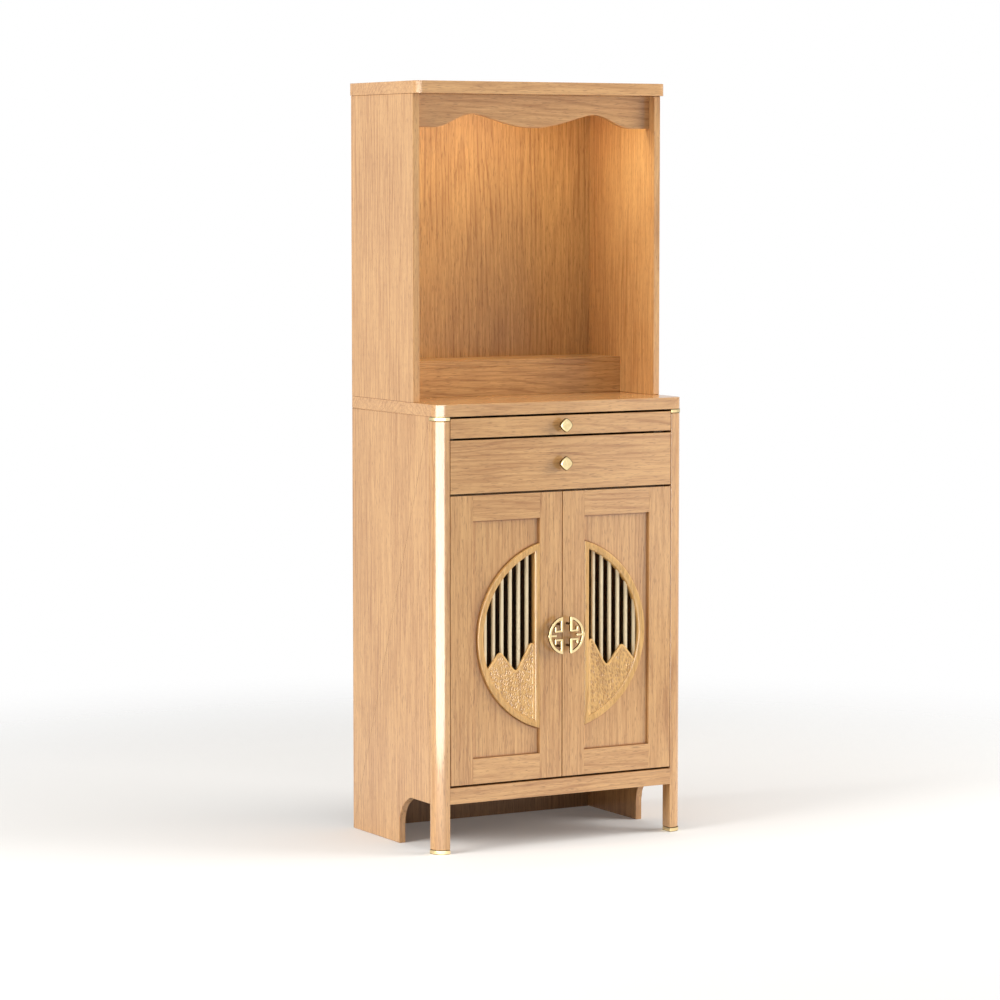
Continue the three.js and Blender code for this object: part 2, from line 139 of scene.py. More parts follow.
def ranged(tree, value, low, high, to_low=0.0, to_high=1.0):
    """The value carried from low..high to to_low..to_high, clamped, with soft ends."""
    inputs = {"Value": value, "From Min": low, "From Max": high, "To Min": to_low, "To Max": to_high}
    node = add_node(tree, "ShaderNodeMapRange", inputs, interpolation_type="SMOOTHSTEP")
    return node.outputs["Result"]


def blended(tree, factor, first, second):
    """Two colours mixed by a factor. A Mix node has its colours in inputs 6 and 7, the mix in output 2."""
    return add_node(tree, "ShaderNodeMix", {0: factor, 6: first, 7: second}, data_type="RGBA").outputs[2]


def new_material(name):
    """An empty material with its tree and its shader."""
    material = bpy.data.materials.new(name)
    material.use_nodes = True
    tree = material.node_tree
    return material, tree, tree.nodes["Principled BSDF"]


# %% [markdown]
# ## Light
# A furniture studio has a white room and large soft boxes. One stands beside the cabinet and lights its
# side, one stands to the right and lights its front, and one hangs above. None of them looks straight into
# the niche, so it stays deep. The boxes at the sides light the wood but aren't mirrored in it, like lamps
# behind a polarizer.
#
# White panels stand lower down, only to be mirrored: the round corner post shows the low one as a long
# white streak, the corner of the cap shows the high one, and the right half of the fronts shows the faint
# one on the right as a veil. They stand close and reach down to the floor, because a mirror seen from
# above shows what is low, and they give no light to dull surfaces, as real reflectors hardly would. The
# two bright ones are shown only to the posts, the thick boards, the fittings and the half-moons. The large
# flat sides don't mirror them, or they would glare when they are seen from behind.

# %% Room, soft boxes and mirrored panels
ROOM_LIGHT = 0.30
ROOM_MIRRORED = 0.7
BOX_SIZE = (2.4, 2.4)
BOX_COLOUR = (1.0, 0.98, 0.95)
SOFT_BOXES = {
    "side_box": {"azimuth": 85, "distance": 3.8, "height": 2.2, "watts": 160, "mirrored": False},
    "right_box": {"azimuth": -60, "distance": 3.8, "height": 1.9, "watts": 156, "mirrored": False},
    "top_box": {"azimuth": 0, "distance": 0.6, "height": 4.6, "watts": 60, "mirrored": True},
}
PANELS = {
    "low_panel": {"azimuth": 44, "distance": 1.45, "width": 2.1, "span": (0.01, 0.94), "watts": 54.0},
    "high_panel": {"azimuth": 44, "distance": 1.45, "width": 2.1, "span": (1.3, 1.6), "watts": 17.5},
    "veil_panel": {"azimuth": -46.5, "distance": 4.3, "width": 2.6, "span": (0.01, 0.8), "watts": 6.0},
}
PANEL_COLOUR = (1.0, 0.98, 0.94)
BRIGHT_PANELS = ("low_panel", "high_panel")
STREAKED_WORDS = ("board", "post", "collar", "foot", "knob", "handle", "moon_frame")
streaked_pieces = bpy.data.collections.new("streaked_pieces")


def aimed_light(name, place, target, size, watts, colour):
    """A rectangular area light at place whose face looks towards target."""
    lamp = bpy.data.lights.new(name, "AREA")
    lamp.shape = "RECTANGLE"
    lamp.size, lamp.size_y = size
    lamp.energy = watts
    lamp.color = colour
    holder = bpy.data.objects.new(name, lamp)
    holder.location = place
    direction = holder.location - type(holder.location)(target)
    holder.rotation_euler = direction.to_track_quat("Z", "Y").to_euler()
    bpy.context.scene.collection.objects.link(holder)
    return holder


def to_the_left(azimuth, distance, height):
    """The place that is turned by azimuth from the front towards the left, at a distance from the middle."""
    turn = math.radians(azimuth)
    return (-distance * math.sin(turn), -distance * math.cos(turn), height)


middle = cad_box[1][2] / 2
for name, box in SOFT_BOXES.items():
    box_place = to_the_left(box["azimuth"], box["distance"], box["height"])
    soft_box = aimed_light(name, box_place, (0, 0, middle), BOX_SIZE, box["watts"], BOX_COLOUR)
    soft_box.visible_glossy = box["mirrored"]
    print(name, "at", [round(value, 2) for value in box_place])

for name, panel in PANELS.items():
    bottom, top = panel["span"]
    panel_place = to_the_left(panel["azimuth"], panel["distance"], (bottom + top) / 2)
    facing = (0, 0, panel_place[2])
    size = (panel["width"], top - bottom)
    mirrored = aimed_light(name, panel_place, facing, size, panel["watts"], PANEL_COLOUR)
    mirrored.visible_diffuse = False
    if name in BRIGHT_PANELS:
        mirrored.light_linking.receiver_collection = streaked_pieces
    print(name, "from", bottom, "to", top, "m")

room = bpy.data.worlds.new("white_room")
room.use_nodes = True
background = room.node_tree.nodes["Background"]
background.inputs["Color"].default_value = (1.0, 1.0, 1.0, 1.0)
ray = add_node(room.node_tree, "ShaderNodeLightPath").outputs
level = calculate(room.node_tree, "MULTIPLY_ADD", ray["Is Camera Ray"], 1.0 - ROOM_LIGHT, ROOM_LIGHT)
level = calculate(room.node_tree, "MULTIPLY_ADD", ray["Is Glossy Ray"], ROOM_MIRRORED - ROOM_LIGHT, level)
room.node_tree.links.new(level, background.inputs["Strength"])
bpy.context.scene.world = room
bpy.context.scene.view_settings.view_transform = "Standard"

# %% [markdown]
# ## Oak under satin lacquer
# Oak shows four things at once: growth rings, which a saw turns into long arches where it passes near the
# heart and into straight lines elsewhere; soft streaks a few millimetres wide; fine fibres; and short dark
# pores. Each board carries its own coordinates in an attribute called board: across the grain, distance
# from the heart, and along the grain. The rings are then simply the distance from the heart line, which
# wanders a little. One graph serves every board, whichever way its grain runs. The back and the riser of
# the niche are painted in a deeper, warmer tone with less lacquer on it, as painted shade for the deep
# niche, and the back and the bottom of the base are painted darker still, as painted shade under the
# cabinet. Every feature is noise that is stretched along the grain, so a table holds its scales.

# %% Oak material
RING_SPACING = 11 * MM
HEART_SLOPE = 0.055
HEART_WANDER = 22 * MM
RING_SWAY = 75 * MM
RIPPLE_TURN = 6.0
BUMP_HEIGHT = 0.25 * MM
COAT_IOR = 1.65
CUT_STEP = 40.0
# Weight of the painted shade that darkens the corners of the door panels' recesses.
PAINTED_SHADE_WEIGHT = 1.5
# Each feature has its scale across and along the grain, per metre, its detail and its roughness.
GRAIN = {
    "drift": (5.0, 1.6, 1.0, 0.5),
    "sway": (15.0, 1.1, 2.0, 0.5),
    "ripple": (60.0, 9.0, 2.0, 0.5),
    "clouds": (11.0, 3.0, 2.0, 0.5),
    "streaks": (150.0, 9.0, 3.0, 0.65),
    "fibres": (520.0, 16.0, 3.0, 0.6),
    "specks": (900.0, 55.0, 1.0, 0.5),
}


def grain_noise(tree, board, seed, feature):
    """Noise for one feature of the grain, stretched along the board."""
    across, along, detail, roughness = GRAIN[feature]
    return noise(tree, stretched(tree, board, (across, across, along)), seed, detail, roughness)


def growth_rings(tree, board, seed):
    """Rings round a sloping heart: sin of the distance from it, sharpened into thin dark late wood. Two slow
    noises move the heart and sway the board, so the lines come closer and part again."""
    across, depth, along = add_node(tree, "ShaderNodeSeparateXYZ", {0: board}).outputs
    drift = grain_noise(tree, board, seed, "drift")
    wander = calculate(tree, "MULTIPLY_ADD", drift, 2 * HEART_WANDER, -HEART_WANDER)
    sway = grain_noise(tree, board, seed, "sway")
    across = calculate(tree, "MULTIPLY_ADD", sway, RING_SWAY, across)
    lift = calculate(tree, "MULTIPLY_ADD", along, HEART_SLOPE, depth)
    lifted = calculate(tree, "ADD", lift, wander)
    flat = add_node(tree, "ShaderNodeCombineXYZ", {0: across, 1: lifted}).outputs[0]
    reach = add_node(tree, "ShaderNodeVectorMath", {0: flat}, operation="LENGTH").outputs["Value"]
    ripple = grain_noise(tree, board, seed, "ripple")
    turns = calculate(tree, "MULTIPLY", reach, 2 * math.pi / RING_SPACING)
    phase = calculate(tree, "MULTIPLY_ADD", ripple, RIPPLE_TURN, turns)
    return ranged(tree, calculate(tree, "SINE", phase), 0.3, 1.0)


def wood(name, light, dark, pore, coat_weight, coat_roughness, roughness, contrast=1.0, shade_in_corners=None):
    """Lacquered wood. Its colour runs from light to dark by a weighted sum of rings, clouds, streaks and
    fibres, and pores darken it. The attribute hollow, which only carved pieces have, moves the colour up or
    down as painted shade in the gouge's scoops and as a painted highlight on their rim. Where the last
    argument is given, it is a function for the share of painted shade in the corners of a recess. Only the
    whole sum is clamped."""
    material, tree, shader = new_material(name)
    board = add_node(tree, "ShaderNodeAttribute", None, attribute_name="board").outputs["Vector"]
    cut = add_node(tree, "ShaderNodeAttribute", None, attribute_name="cut").outputs["Fac"]
    seed = calculate(tree, "MULTIPLY", cut, CUT_STEP)
    rings = growth_rings(tree, board, seed)
    clouds = grain_noise(tree, board, seed, "clouds")
    streaks = grain_noise(tree, board, seed, "streaks")
    fibres = grain_noise(tree, board, seed, "fibres")
    pores = ranged(tree, grain_noise(tree, board, seed, "specks"), 0.58, 0.70)
    # hollow: painted shade in the scoops of carved pieces and a painted highlight on their rim.
    hollow = add_node(tree, "ShaderNodeAttribute", None, attribute_name="hollow").outputs["Fac"]
    patchy_rings = calculate(tree, "MULTIPLY", rings, ranged(tree, clouds, 0.3, 0.65, 0.15, 1.0))
    parts = [
        (patchy_rings, 0.42 * contrast),
        (ranged(tree, clouds, 0.3, 0.7), 0.22 * contrast),
        (ranged(tree, streaks, 0.3, 0.7), 0.50 * contrast),
        (ranged(tree, fibres, 0.3, 0.7), 0.34 * contrast),
        (cut, 0.10),
        (hollow, 1.0),
    ]
    # Painted shade: an optional share darkens the wood in the corners of a recess.
    if shade_in_corners:
        parts.insert(0, (shade_in_corners(tree), PAINTED_SHADE_WEIGHT))
    mixed = 0.5 - 0.68 * contrast
    for part, weight in parts:
        mixed = calculate(tree, "MULTIPLY_ADD", part, weight, mixed, clamp=part is hollow)
    colour = blended(tree, mixed, light, dark)
    colour = blended(tree, calculate(tree, "MULTIPLY", pores, 0.6), colour, pore)
    gloss = calculate(tree, "MULTIPLY_ADD", streaks, 0.12, roughness - 0.06)
    gloss = calculate(tree, "MULTIPLY_ADD", pores, 0.15, gloss)
    relief = calculate(tree, "MULTIPLY_ADD", pores, -0.9, fibres)
    relief = calculate(tree, "MULTIPLY_ADD", streaks, 0.5, relief)
    bump = add_node(tree, "ShaderNodeBump", {"Strength": 0.3, "Distance": BUMP_HEIGHT, "Height": relief})
    tree.links.new(colour, shader.inputs["Base Color"])
    tree.links.new(gloss, shader.inputs["Roughness"])
    tree.links.new(bump.outputs[0], shader.inputs["Normal"])
    shader.inputs["Coat Weight"].default_value = coat_weight
    shader.inputs["Coat Roughness"].default_value = coat_roughness
    shader.inputs["Coat IOR"].default_value = COAT_IOR
    return material


PALE_OAK = {
    "light": (0.70, 0.395, 0.155, 1), "dark": (0.44, 0.205, 0.066, 1), "pore": (0.22, 0.095, 0.03, 1),
    "coat_weight": 1.0, "coat_roughness": 0.14, "roughness": 0.42,
}
oak = wood("satin_oak", **PALE_OAK)
# Painted shade: the base's back and bottom are painted darker, for the shade under the cabinet.
shaded_oak_of_base = wood(
    "painted_shade_oak_of_base",
    light=(0.36, 0.20, 0.085, 1), dark=(0.20, 0.095, 0.036, 1), pore=(0.10, 0.045, 0.015, 1),
    coat_weight=0.3, coat_roughness=0.3, roughness=0.55,
)
# Painted shade: the niche's back and riser are painted deeper and warmer, for the shade in the niche.
shaded_oak_of_niche = wood(
    "painted_shade_oak_of_niche",
    light=(0.63, 0.350, 0.125, 1), dark=(0.35, 0.160, 0.048, 1), pore=(0.17, 0.070, 0.02, 1),
    coat_weight=0.4, coat_roughness=0.25, roughness=0.5,
)
print("oak:", len(oak.node_tree.nodes), "nodes, in three tones")

# %% [markdown]
# ## Golden oak for the carved pieces
# The half-moons in the doors are a lighter, yellower wood, so that they stand out like a picture in its
# frame. The same graph is used with other colours and less contrast, because the carving itself makes the
# pattern.

# %% Golden oak materials
golden_oak = wood(
    "golden_oak",
    light=(0.80, 0.48, 0.165, 1), dark=(0.44, 0.22, 0.055, 1), pore=(0.22, 0.10, 0.03, 1),
    coat_weight=0.4, coat_roughness=0.2, roughness=0.45, contrast=0.8,
)
pale_slat_oak = wood(
    "pale_slat_oak",
    light=(0.90, 0.79, 0.55, 1), dark=(0.72, 0.57, 0.36, 1), pore=(0.42, 0.28, 0.14, 1),
    coat_weight=0.3, coat_roughness=0.3, roughness=0.5, contrast=0.7,
)
print("golden oak and pale slat oak made")

# %% [markdown]
# ## Pale brass
# The fittings are cast, brushed and lacquered. Fine brushing makes the reflection a little uneven,
# handling dulls it in clouds, and a trace of darker tone sits in the clouds. The seams at the ends of the
# collars and feet were never polished and are brown with age, and the cut sides of the handles and knobs
# are painted brown as a painted dark reflection, which draws a dark line round each bright face. A stored
# attribute says where. It is a metal, so nearly all of its look is the room that it mirrors.

# %% Brass material
BRASS_TONES = {
    "bright": (0.99, 0.81, 0.46, 1), "handled": (0.89, 0.69, 0.35, 1),
    "brushed": (0.70, 0.53, 0.30, 1), "patina_and_dark_reflection": (0.10, 0.055, 0.02, 1),
}
BRASS_CLOUDS = (90.0, 90.0, 90.0)
BRASS_BRUSHING = (2600.0, 2600.0, 240.0)
BRUSHING_DEPTH = 0.1 * MM


def brushed_brass(name):
    """Metal whose roughness and tone follow soft clouds, with very fine brushing as bump, and dark where the
    stored share of patina and painted dark reflection is 1."""
    material, tree, shader = new_material(name)
    place = add_node(tree, "ShaderNodeTexCoord").outputs["Object"]
    clouds = noise(tree, stretched(tree, place, BRASS_CLOUDS), 0.0, detail=3.0)
    brushing = noise(tree, stretched(tree, place, BRASS_BRUSHING), 3.0, detail=2.0)
    tone = blended(tree, ranged(tree, clouds, 0.35, 0.7), BRASS_TONES["bright"], BRASS_TONES["handled"])
    tone = blended(tree, ranged(tree, brushing, 0.5, 0.9, 0.0, 0.35), tone, BRASS_TONES["brushed"])
    # Dark where the stored share is 1: patina at the seams, painted dark reflection on the cut sides.
    patina_and_dark_reflection = add_node(tree, "ShaderNodeAttribute", None, attribute_name="patina_and_dark_reflection").outputs["Fac"]
    tone = blended(tree, patina_and_dark_reflection, tone, BRASS_TONES["patina_and_dark_reflection"])
    dull = calculate(tree, "MULTIPLY_ADD", clouds, 0.18, 0.24)
    dull = calculate(tree, "MULTIPLY_ADD", patina_and_dark_reflection, 0.25, dull)
    bump_inputs = {"Strength": 0.12, "Distance": BRUSHING_DEPTH, "Height": brushing}
    bump = add_node(tree, "ShaderNodeBump", bump_inputs)
    tree.links.new(tone, shader.inputs["Base Color"])
    tree.links.new(dull, shader.inputs["Roughness"])
    tree.links.new(bump.outputs[0], shader.inputs["Normal"])
    shader.inputs["Metallic"].default_value = 1.0
    return material


brass = brushed_brass("pale_brass")
print("brass:", len(brass.node_tree.nodes), "nodes")

# %% [markdown]
# ## The lamp's diffuser and the floor
# The niche is lit by a slim lamp under the cap. Its cover is a frosted strip, which is brighter over each
# lamp chip behind it, so its glow is a row of soft spots. The floor is plain pale paper. It fades to
# nothing away from the cabinet by its distance from the middle, which holds from every side, so no horizon
# shows.

# %% Diffuser and floor materials
FLOOR_RADIUS = 4.0
FLOOR_FADE = (1.0, 2.6)
FLOOR_GLOW = 0.09
CHIP_PITCH = 16 * MM
CHIP_SWING = 0.8
MIDDLE_GLOW = 5.0
LAMP_COLOUR = (1.0, 0.74, 0.42, 1)
FROST_GRAIN = (1800.0, 1800.0, 1800.0)
PAPER_GRAIN = (300.0, 300.0, 300.0)


def frosted_diffuser(name):
    """Frosted plastic that glows in a row of soft spots: the glow follows the cosine along the strip."""
    material, tree, shader = new_material(name)
    place = add_node(tree, "ShaderNodeTexCoord").outputs["Object"]
    along = add_node(tree, "ShaderNodeSeparateXYZ", {0: place}).outputs[0]
    chips = calculate(tree, "COSINE", calculate(tree, "MULTIPLY", along, 2 * math.pi / CHIP_PITCH))
    frost = noise(tree, stretched(tree, place, FROST_GRAIN), 0.0)
    glow = calculate(tree, "MULTIPLY_ADD", chips, CHIP_SWING, MIDDLE_GLOW)
    tone = blended(tree, frost, (0.92, 0.86, 0.74, 1), (0.80, 0.72, 0.58, 1))
    tree.links.new(tone, shader.inputs["Base Color"])
    tree.links.new(glow, shader.inputs["Emission Strength"])
    tree.links.new(calculate(tree, "MULTIPLY_ADD", frost, 0.2, 0.4), shader.inputs["Roughness"])
    shader.inputs["Emission Color"].default_value = LAMP_COLOUR
    return material


def pale_floor_paper(name):
    """Matt pale paper, opaque near the middle and clear beyond the fade."""
    material, tree, shader = new_material(name)
    place = add_node(tree, "ShaderNodeTexCoord").outputs["Object"]
    away = add_node(tree, "ShaderNodeVectorMath", {0: place}, operation="LENGTH").outputs["Value"]
    tooth = noise(tree, stretched(tree, place, PAPER_GRAIN), 0.0)
    shader.inputs["Roughness"].default_value = 0.8
    paper = blended(tree, tooth, (0.80, 0.795, 0.785, 1), (0.76, 0.755, 0.745, 1))
    tree.links.new(paper, shader.inputs["Base Color"])
    tree.links.new(ranged(tree, away, *FLOOR_FADE, 1.0, 0.0), shader.inputs["Alpha"])
    tree.links.new(paper, shader.inputs["Emission Color"])
    shader.inputs["Emission Strength"].default_value = FLOOR_GLOW
    return material


diffuser = frosted_diffuser("frosted_diffuser")
floor_paper = pale_floor_paper("pale_floor_paper")
print("diffuser and floor paper made")

# %% [markdown]
# ## From arrays to meshes
# Every shape below is an array of points worked out at once, and a list of faces that join them. A point
# knows its own surface direction wherever the formula gives it, so the flat faces stay dead flat right up
# to their rounded edges. Faces are turned outwards by the sign of the volume that they enclose.

# %% Mesh helpers
SIDES = {"left": -1, "right": 1}
pieces_made = []


def grid_faces(rows, columns, wrap_rows=False, wrap_columns=False):
    """Quads between neighbouring points of a grid. A wrapped direction joins its last line to its first."""
    row = np.arange(rows if wrap_rows else rows - 1)
    column = np.arange(columns if wrap_columns else columns - 1)
    r, c = np.meshgrid(row, column, indexing="ij")
    below, beside = (r + 1) % rows, (c + 1) % columns
    corners = [r * columns + c, r * columns + beside, below * columns + beside, below * columns + c]
    return np.stack(corners, -1).reshape(-1, 4)


def end_caps(levels, count):
    """The first and the last ring of a grid, as many-sided faces that look away from each other."""
    return [np.arange(count)[::-1], np.arange(count) + (levels - 1) * count]


def cap_volume(points, faces):
    """Sum over the faces, cut into fans of triangles, of the tetrahedra that they span with the origin."""
    total = 0.0
    for face in faces:
        fan = points[face]
        total += np.einsum("ij,ij->", np.cross(fan[1:-1], fan[2:]), fan[:1].repeat(len(fan) - 2, 0))
    return total / 6


def quad_volume(points, quads):
    """The same sum for an array of quads, as whole arrays."""
    a, b, c, d = (points[quads[:, i]] for i in range(4))
    return (np.einsum("ij,ij->", a, np.cross(b, c)) + np.einsum("ij,ij->", a, np.cross(c, d))) / 6


def facing_out(points, quads, caps):
    """The quads and caps, turned over where they enclose a negative volume."""
    if quad_volume(points, quads) + cap_volume(points, caps) < 0:
        return quads[:, ::-1], [cap[::-1] for cap in caps]
    return quads, caps


def new_piece(name, points, quads, caps=(), normals=None, crease_degrees=32.0):
    """A mesh object from points, quads and many-sided caps, facing outwards and smoothly shaded. Without
    normals, edges sharper than the crease stay sharp."""
    quads, caps = facing_out(points, quads, caps)
    mesh = bpy.data.meshes.new(name)
    mesh.from_pydata(points.tolist(), [], quads.tolist() + [cap.tolist() for cap in caps])
    mesh.polygons.foreach_set("use_smooth", np.ones(len(mesh.polygons), bool))
    if normals is None:
        mesh.set_sharp_from_angle(angle=math.radians(crease_degrees))
    else:
        mesh.normals_split_custom_set_from_vertices(normals.tolist())
    mesh.update()
    piece = bpy.data.objects.new(name, mesh)
    bpy.context.scene.collection.objects.link(piece)
    pieces_made.append(name)
    return piece


def merged_parts(parts):
    """Several (points, quads, caps, normals) sets as one, with the later ones' numbers moved up."""
    points = np.concatenate([part[0] for part in parts])
    starts = np.cumsum([0] + [len(part[0]) for part in parts[:-1]])
    quads = np.concatenate([part[1] + start for part, start in zip(parts, starts)])
    caps = [cap + start for part, start in zip(parts, starts) for cap in part[2]]
    normals = np.concatenate([part[3] for part in parts])
    return points, quads, caps, normals


# %% [markdown]
# ## Dressing a piece
# A finished piece rides on the body of the solid that it stands for. A board also gets its coordinates in
# the tree it was cut from: across, through and along the grain, measured from its middle, with the heart
# of the tree at a chosen depth. A heart close by gives arches, and a far one gives straight grain. The
# number cut sets each board apart, stepping by the golden ratio so that neighbours never match.

# %% Dressing helpers
GOLDEN_STEP = 0.618034
AXES = {"x": 0, "y": 1, "z": 2}
FAR_HEART = 240 * MM
NEAR_HEART = 12 * MM
QUARTER_ASIDE = 600 * MM


def dress(piece, node, material):
    """The piece rides with its node's body, stands for the node and wears the material. Where the node's
    name ends in one of the streaked words, the piece mirrors the bright panels."""
    piece.data.materials.append(material)
    if node.endswith(STREAKED_WORDS):
        streaked_pieces.objects.link(piece)
    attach(piece, body_of_node[node])
    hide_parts(node)
    return piece


def places_of(piece):
    """The piece's points as an array of three columns."""
    places = np.empty(len(piece.data.vertices) * 3)
    piece.data.vertices.foreach_get("co", places)
    return places.reshape(-1, 3)


def store_values(piece, name, values):
    """One number for each point, as an attribute that a material can read."""
    piece.data.attributes.new(name, "FLOAT", "POINT").data.foreach_set("value", np.ravel(values))


def mark_grain(piece, along, across, heart):
    """Stores board = (across + aside, through + heart, along) from the piece's middle, and its cut number. A
    board from far beside the heart, which is cut on the quarter, has straight lines instead of arches."""
    points = places_of(piece)
    points = points - (points.min(0) + points.max(0)) / 2
    through = ({"x", "y", "z"} - {along, across}).pop()
    aside, heart = (QUARTER_ASIDE, NEAR_HEART) if heart == FAR_HEART else (0.0, heart)
    across, through, along = (points[:, AXES[axis]] for axis in (across, through, along))
    board = np.stack([across + aside, through + heart, along], 1)
    piece.data.attributes.new("board", "FLOAT_VECTOR", "POINT").data.foreach_set("vector", board.ravel())
    store_values(piece, "cut", np.full(len(points), len(pieces_made) * GOLDEN_STEP % 1))


# %% [markdown]
# ## Outlines with rounded corners
# A cabinet maker never leaves a sharp arris. The outline of a board is given by its corners, each with a
# radius, and all the arcs are worked out together. The direction of each edge gives an outward normal, and
# round a corner the normal turns from one edge's to the next. A point that lies on a curve has no radius:
# it stays one point, with the middle direction.

# %% Outline helper
CORNER_STEPS = 9
ON_CURVE = np.nan


def turned(vectors, angles):
    """2-D vectors turned anticlockwise by angles."""
    cos, sin = np.cos(angles), np.sin(angles)
    x, y = vectors[..., 0], vectors[..., 1]
    return np.stack([x * cos - y * sin, x * sin + y * cos], -1)


def rounded(corners):
    """Closed outline from rows (u, v, radius). Each corner becomes an arc: its centre is the corner moved in
    by radius * (n0 + n1) / (1 + n0.n1), and its points are centre + radius * n, as n turns from n0 to n1."""
    corners = np.asarray(corners, float)
    uv, radius = corners[:, :2], corners[:, 2]
    following = np.roll(uv, -1, 0)
    if np.sum(uv[:, 0] * following[:, 1] - uv[:, 1] * following[:, 0]) < 0:
        uv, radius = uv[::-1], radius[::-1]
    edge = np.roll(uv, -1, 0) - uv
    edge /= np.linalg.norm(edge, axis=1, keepdims=True)
    after = np.stack([edge[:, 1], -edge[:, 0]], 1)
    before = np.roll(after, 1, 0)
    bend = np.arctan2(before[:, 0] * after[:, 1] - before[:, 1] * after[:, 0], np.sum(before * after, 1))
    on_curve = np.isnan(radius) | (np.abs(bend) < 1e-6)
    pull = np.where(on_curve, 0.0, np.nan_to_num(radius)) * np.sign(bend)
    centre = uv - pull[:, None] * (before + after) / (1 + np.sum(before * after, 1))[:, None]
    share = np.linspace(0, 1, CORNER_STEPS)
    normal = turned(before[:, None, :], bend[:, None] * share)
    points = centre[:, None, :] + pull[:, None, None] * normal
    keep = ~on_curve[:, None] | (np.arange(CORNER_STEPS) == CORNER_STEPS // 2)
    return points[keep], normal[keep]


# %% [markdown]
# ## Boards with eased edges
# A board is its outline carried along one axis. At each end the outline draws in along a quarter circle,
# which is the easing that fine sandpaper leaves. The quarter circle's own direction is stored with each
# point, so the light runs over the edge as a thin clean line.

# %% Board helpers
EASE_STEPS = 4
CORNER_PER_EASE = 1.25


def placed(uv, w, axis):
    """Points in space from outline coordinates and the distance w along the axis."""
    u, v = uv[..., 0], uv[..., 1]
    w = np.broadcast_to(w, u.shape)
    return np.stack({"x": (w, u, v), "y": (u, w, v), "z": (u, v, w)}[axis], -1)


def eased_slab(outline, axis, low, high, ease):
    """An outline from low to high along the axis. Ring k of the easing is drawn in by ease * (1 - cos b) and
    stands ease * (1 - sin b) from the end, with b from a right angle to 0; the far end mirrors it."""
    uv, outward = outline
    b = np.linspace(np.pi / 2, 0, EASE_STEPS)
    inset = ease * (1 - np.cos(b))
    rise = ease * (1 - np.sin(b))
    inset = np.concatenate([inset, inset[::-1]])
    level = np.concatenate([low + rise, high - rise[::-1]])
    lean = np.concatenate([-np.sin(b), np.sin(b[::-1])])
    spread = np.concatenate([np.cos(b), np.cos(b[::-1])])
    points = placed(uv[None] - inset[:, None, None] * outward[None], level[:, None], axis)
    normals = placed(spread[:, None, None] * outward[None], lean[:, None], axis)
    quads = grid_faces(len(level), len(uv), wrap_columns=True)
    return points.reshape(-1, 3), quads, end_caps(len(level), len(uv)), normals.reshape(-1, 3)


def corners_of(node):
    """The lowest and highest corner of a node, as arrays."""
    low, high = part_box(node)
    return np.array(low), np.array(high)


def rectangle(low, high, radii):
    """The corners of a rectangle, round from the lowest one, each with its radius."""
    (left, bottom), (right, top) = low, high
    return list(zip((left, right, right, left), (bottom, bottom, top, top), radii))


def finish_board(node, outline, axis, ease, along, across, heart, material):
    """A board with the node's own extent along the axis, its easing, its grain and its finish."""
    low, high = corners_of(node)
    points, quads, caps, normals = eased_slab(outline, axis, low[AXES[axis]], high[AXES[axis]], ease)
    piece = new_piece("eased_" + node, points, quads, caps, normals)
    mark_grain(piece, along, across, heart)
    return dress(piece, node, material)


def plain_board(node, along, across, heart, ease=0.7 * MM, material=oak):
    """A rectangular board that runs along its grain."""
    low, high = corners_of(node)
    section = [AXES[axis] for axis in {"x": "yz", "y": "xz", "z": "xy"}[along]]
    outline = rounded(rectangle(low[section], high[section], [CORNER_PER_EASE * ease] * 4))
    return finish_board(node, outline, along, ease, along, across, heart, material)


# %% [markdown]
# ## The plain boards
# These are straight lengths of board: the backs, the panels under the drawer and behind the doors, the
# riser in the niche, the runners, the tray and the drawer box. Grain runs the long way of each board, as
# it does on real furniture, because wood moves across its grain and hardly at all along it.

# %% Plain boards
PLAIN_BOARDS = {
    "upper_back_panel": ("z", "x", NEAR_HEART),
    "lower_back_panel": ("z", "x", NEAR_HEART),
    "bottom_rail": ("x", "z", FAR_HEART),
    "bottom_panel": ("x", "y", NEAR_HEART),
    "divider_panel": ("x", "y", NEAR_HEART),
    "riser_front": ("x", "z", 40 * MM),
    "riser_top": ("x", "y", 40 * MM),
    "left_tray_runner": ("y", "x", FAR_HEART),
    "right_tray_runner": ("y", "x", FAR_HEART),
    "tray_front": ("x", "z", 60 * MM),
    "tray_board": ("x", "y", NEAR_HEART),
    "drawer_front": ("x", "z", NEAR_HEART),
    "drawer_left_side": ("y", "z", FAR_HEART),
    "drawer_right_side": ("y", "z", FAR_HEART),
    "drawer_back": ("x", "z", FAR_HEART),
    "drawer_bottom": ("x", "y", NEAR_HEART),
}
NICHE_BOARDS = ("upper_back_panel", "riser_front", "riser_top")
BASE_BOARDS = ("lower_back_panel", "bottom_panel")
# The niche's boards and the base's back and bottom take the darker oaks, which are painted shade.
for node, (along, across, heart) in PLAIN_BOARDS.items():
    material = shaded_oak_of_niche if node in NICHE_BOARDS else shaded_oak_of_base if node in BASE_BOARDS else oak
    plain_board(node, along, across, heart, material=material)
print("plain boards:", len(PLAIN_BOARDS))

# %% [markdown]
# ## Cap and counter
# Both are thick boards with round front corners, seen edge on. Their grain runs from side to side. The
# plan is a rectangle with two large radii in front and two small ones behind.

# %% Cap and counter
SMALL_CORNER = 1.2 * MM
CAP_CORNER = 16 * MM
COUNTER_CORNER = 25 * MM
THICK_EASE = 1.0 * MM
THICK_BOARD_HEART = 90 * MM


def board_with_round_front(node, radius):
    """Plan of the node's box with both front corners rounded."""
    low, high = corners_of(node)
    plan = rectangle(low[:2], high[:2], (radius, radius, SMALL_CORNER, SMALL_CORNER))
    return finish_board(node, rounded(plan), "z", THICK_EASE, "x", "y", THICK_BOARD_HEART, oak)


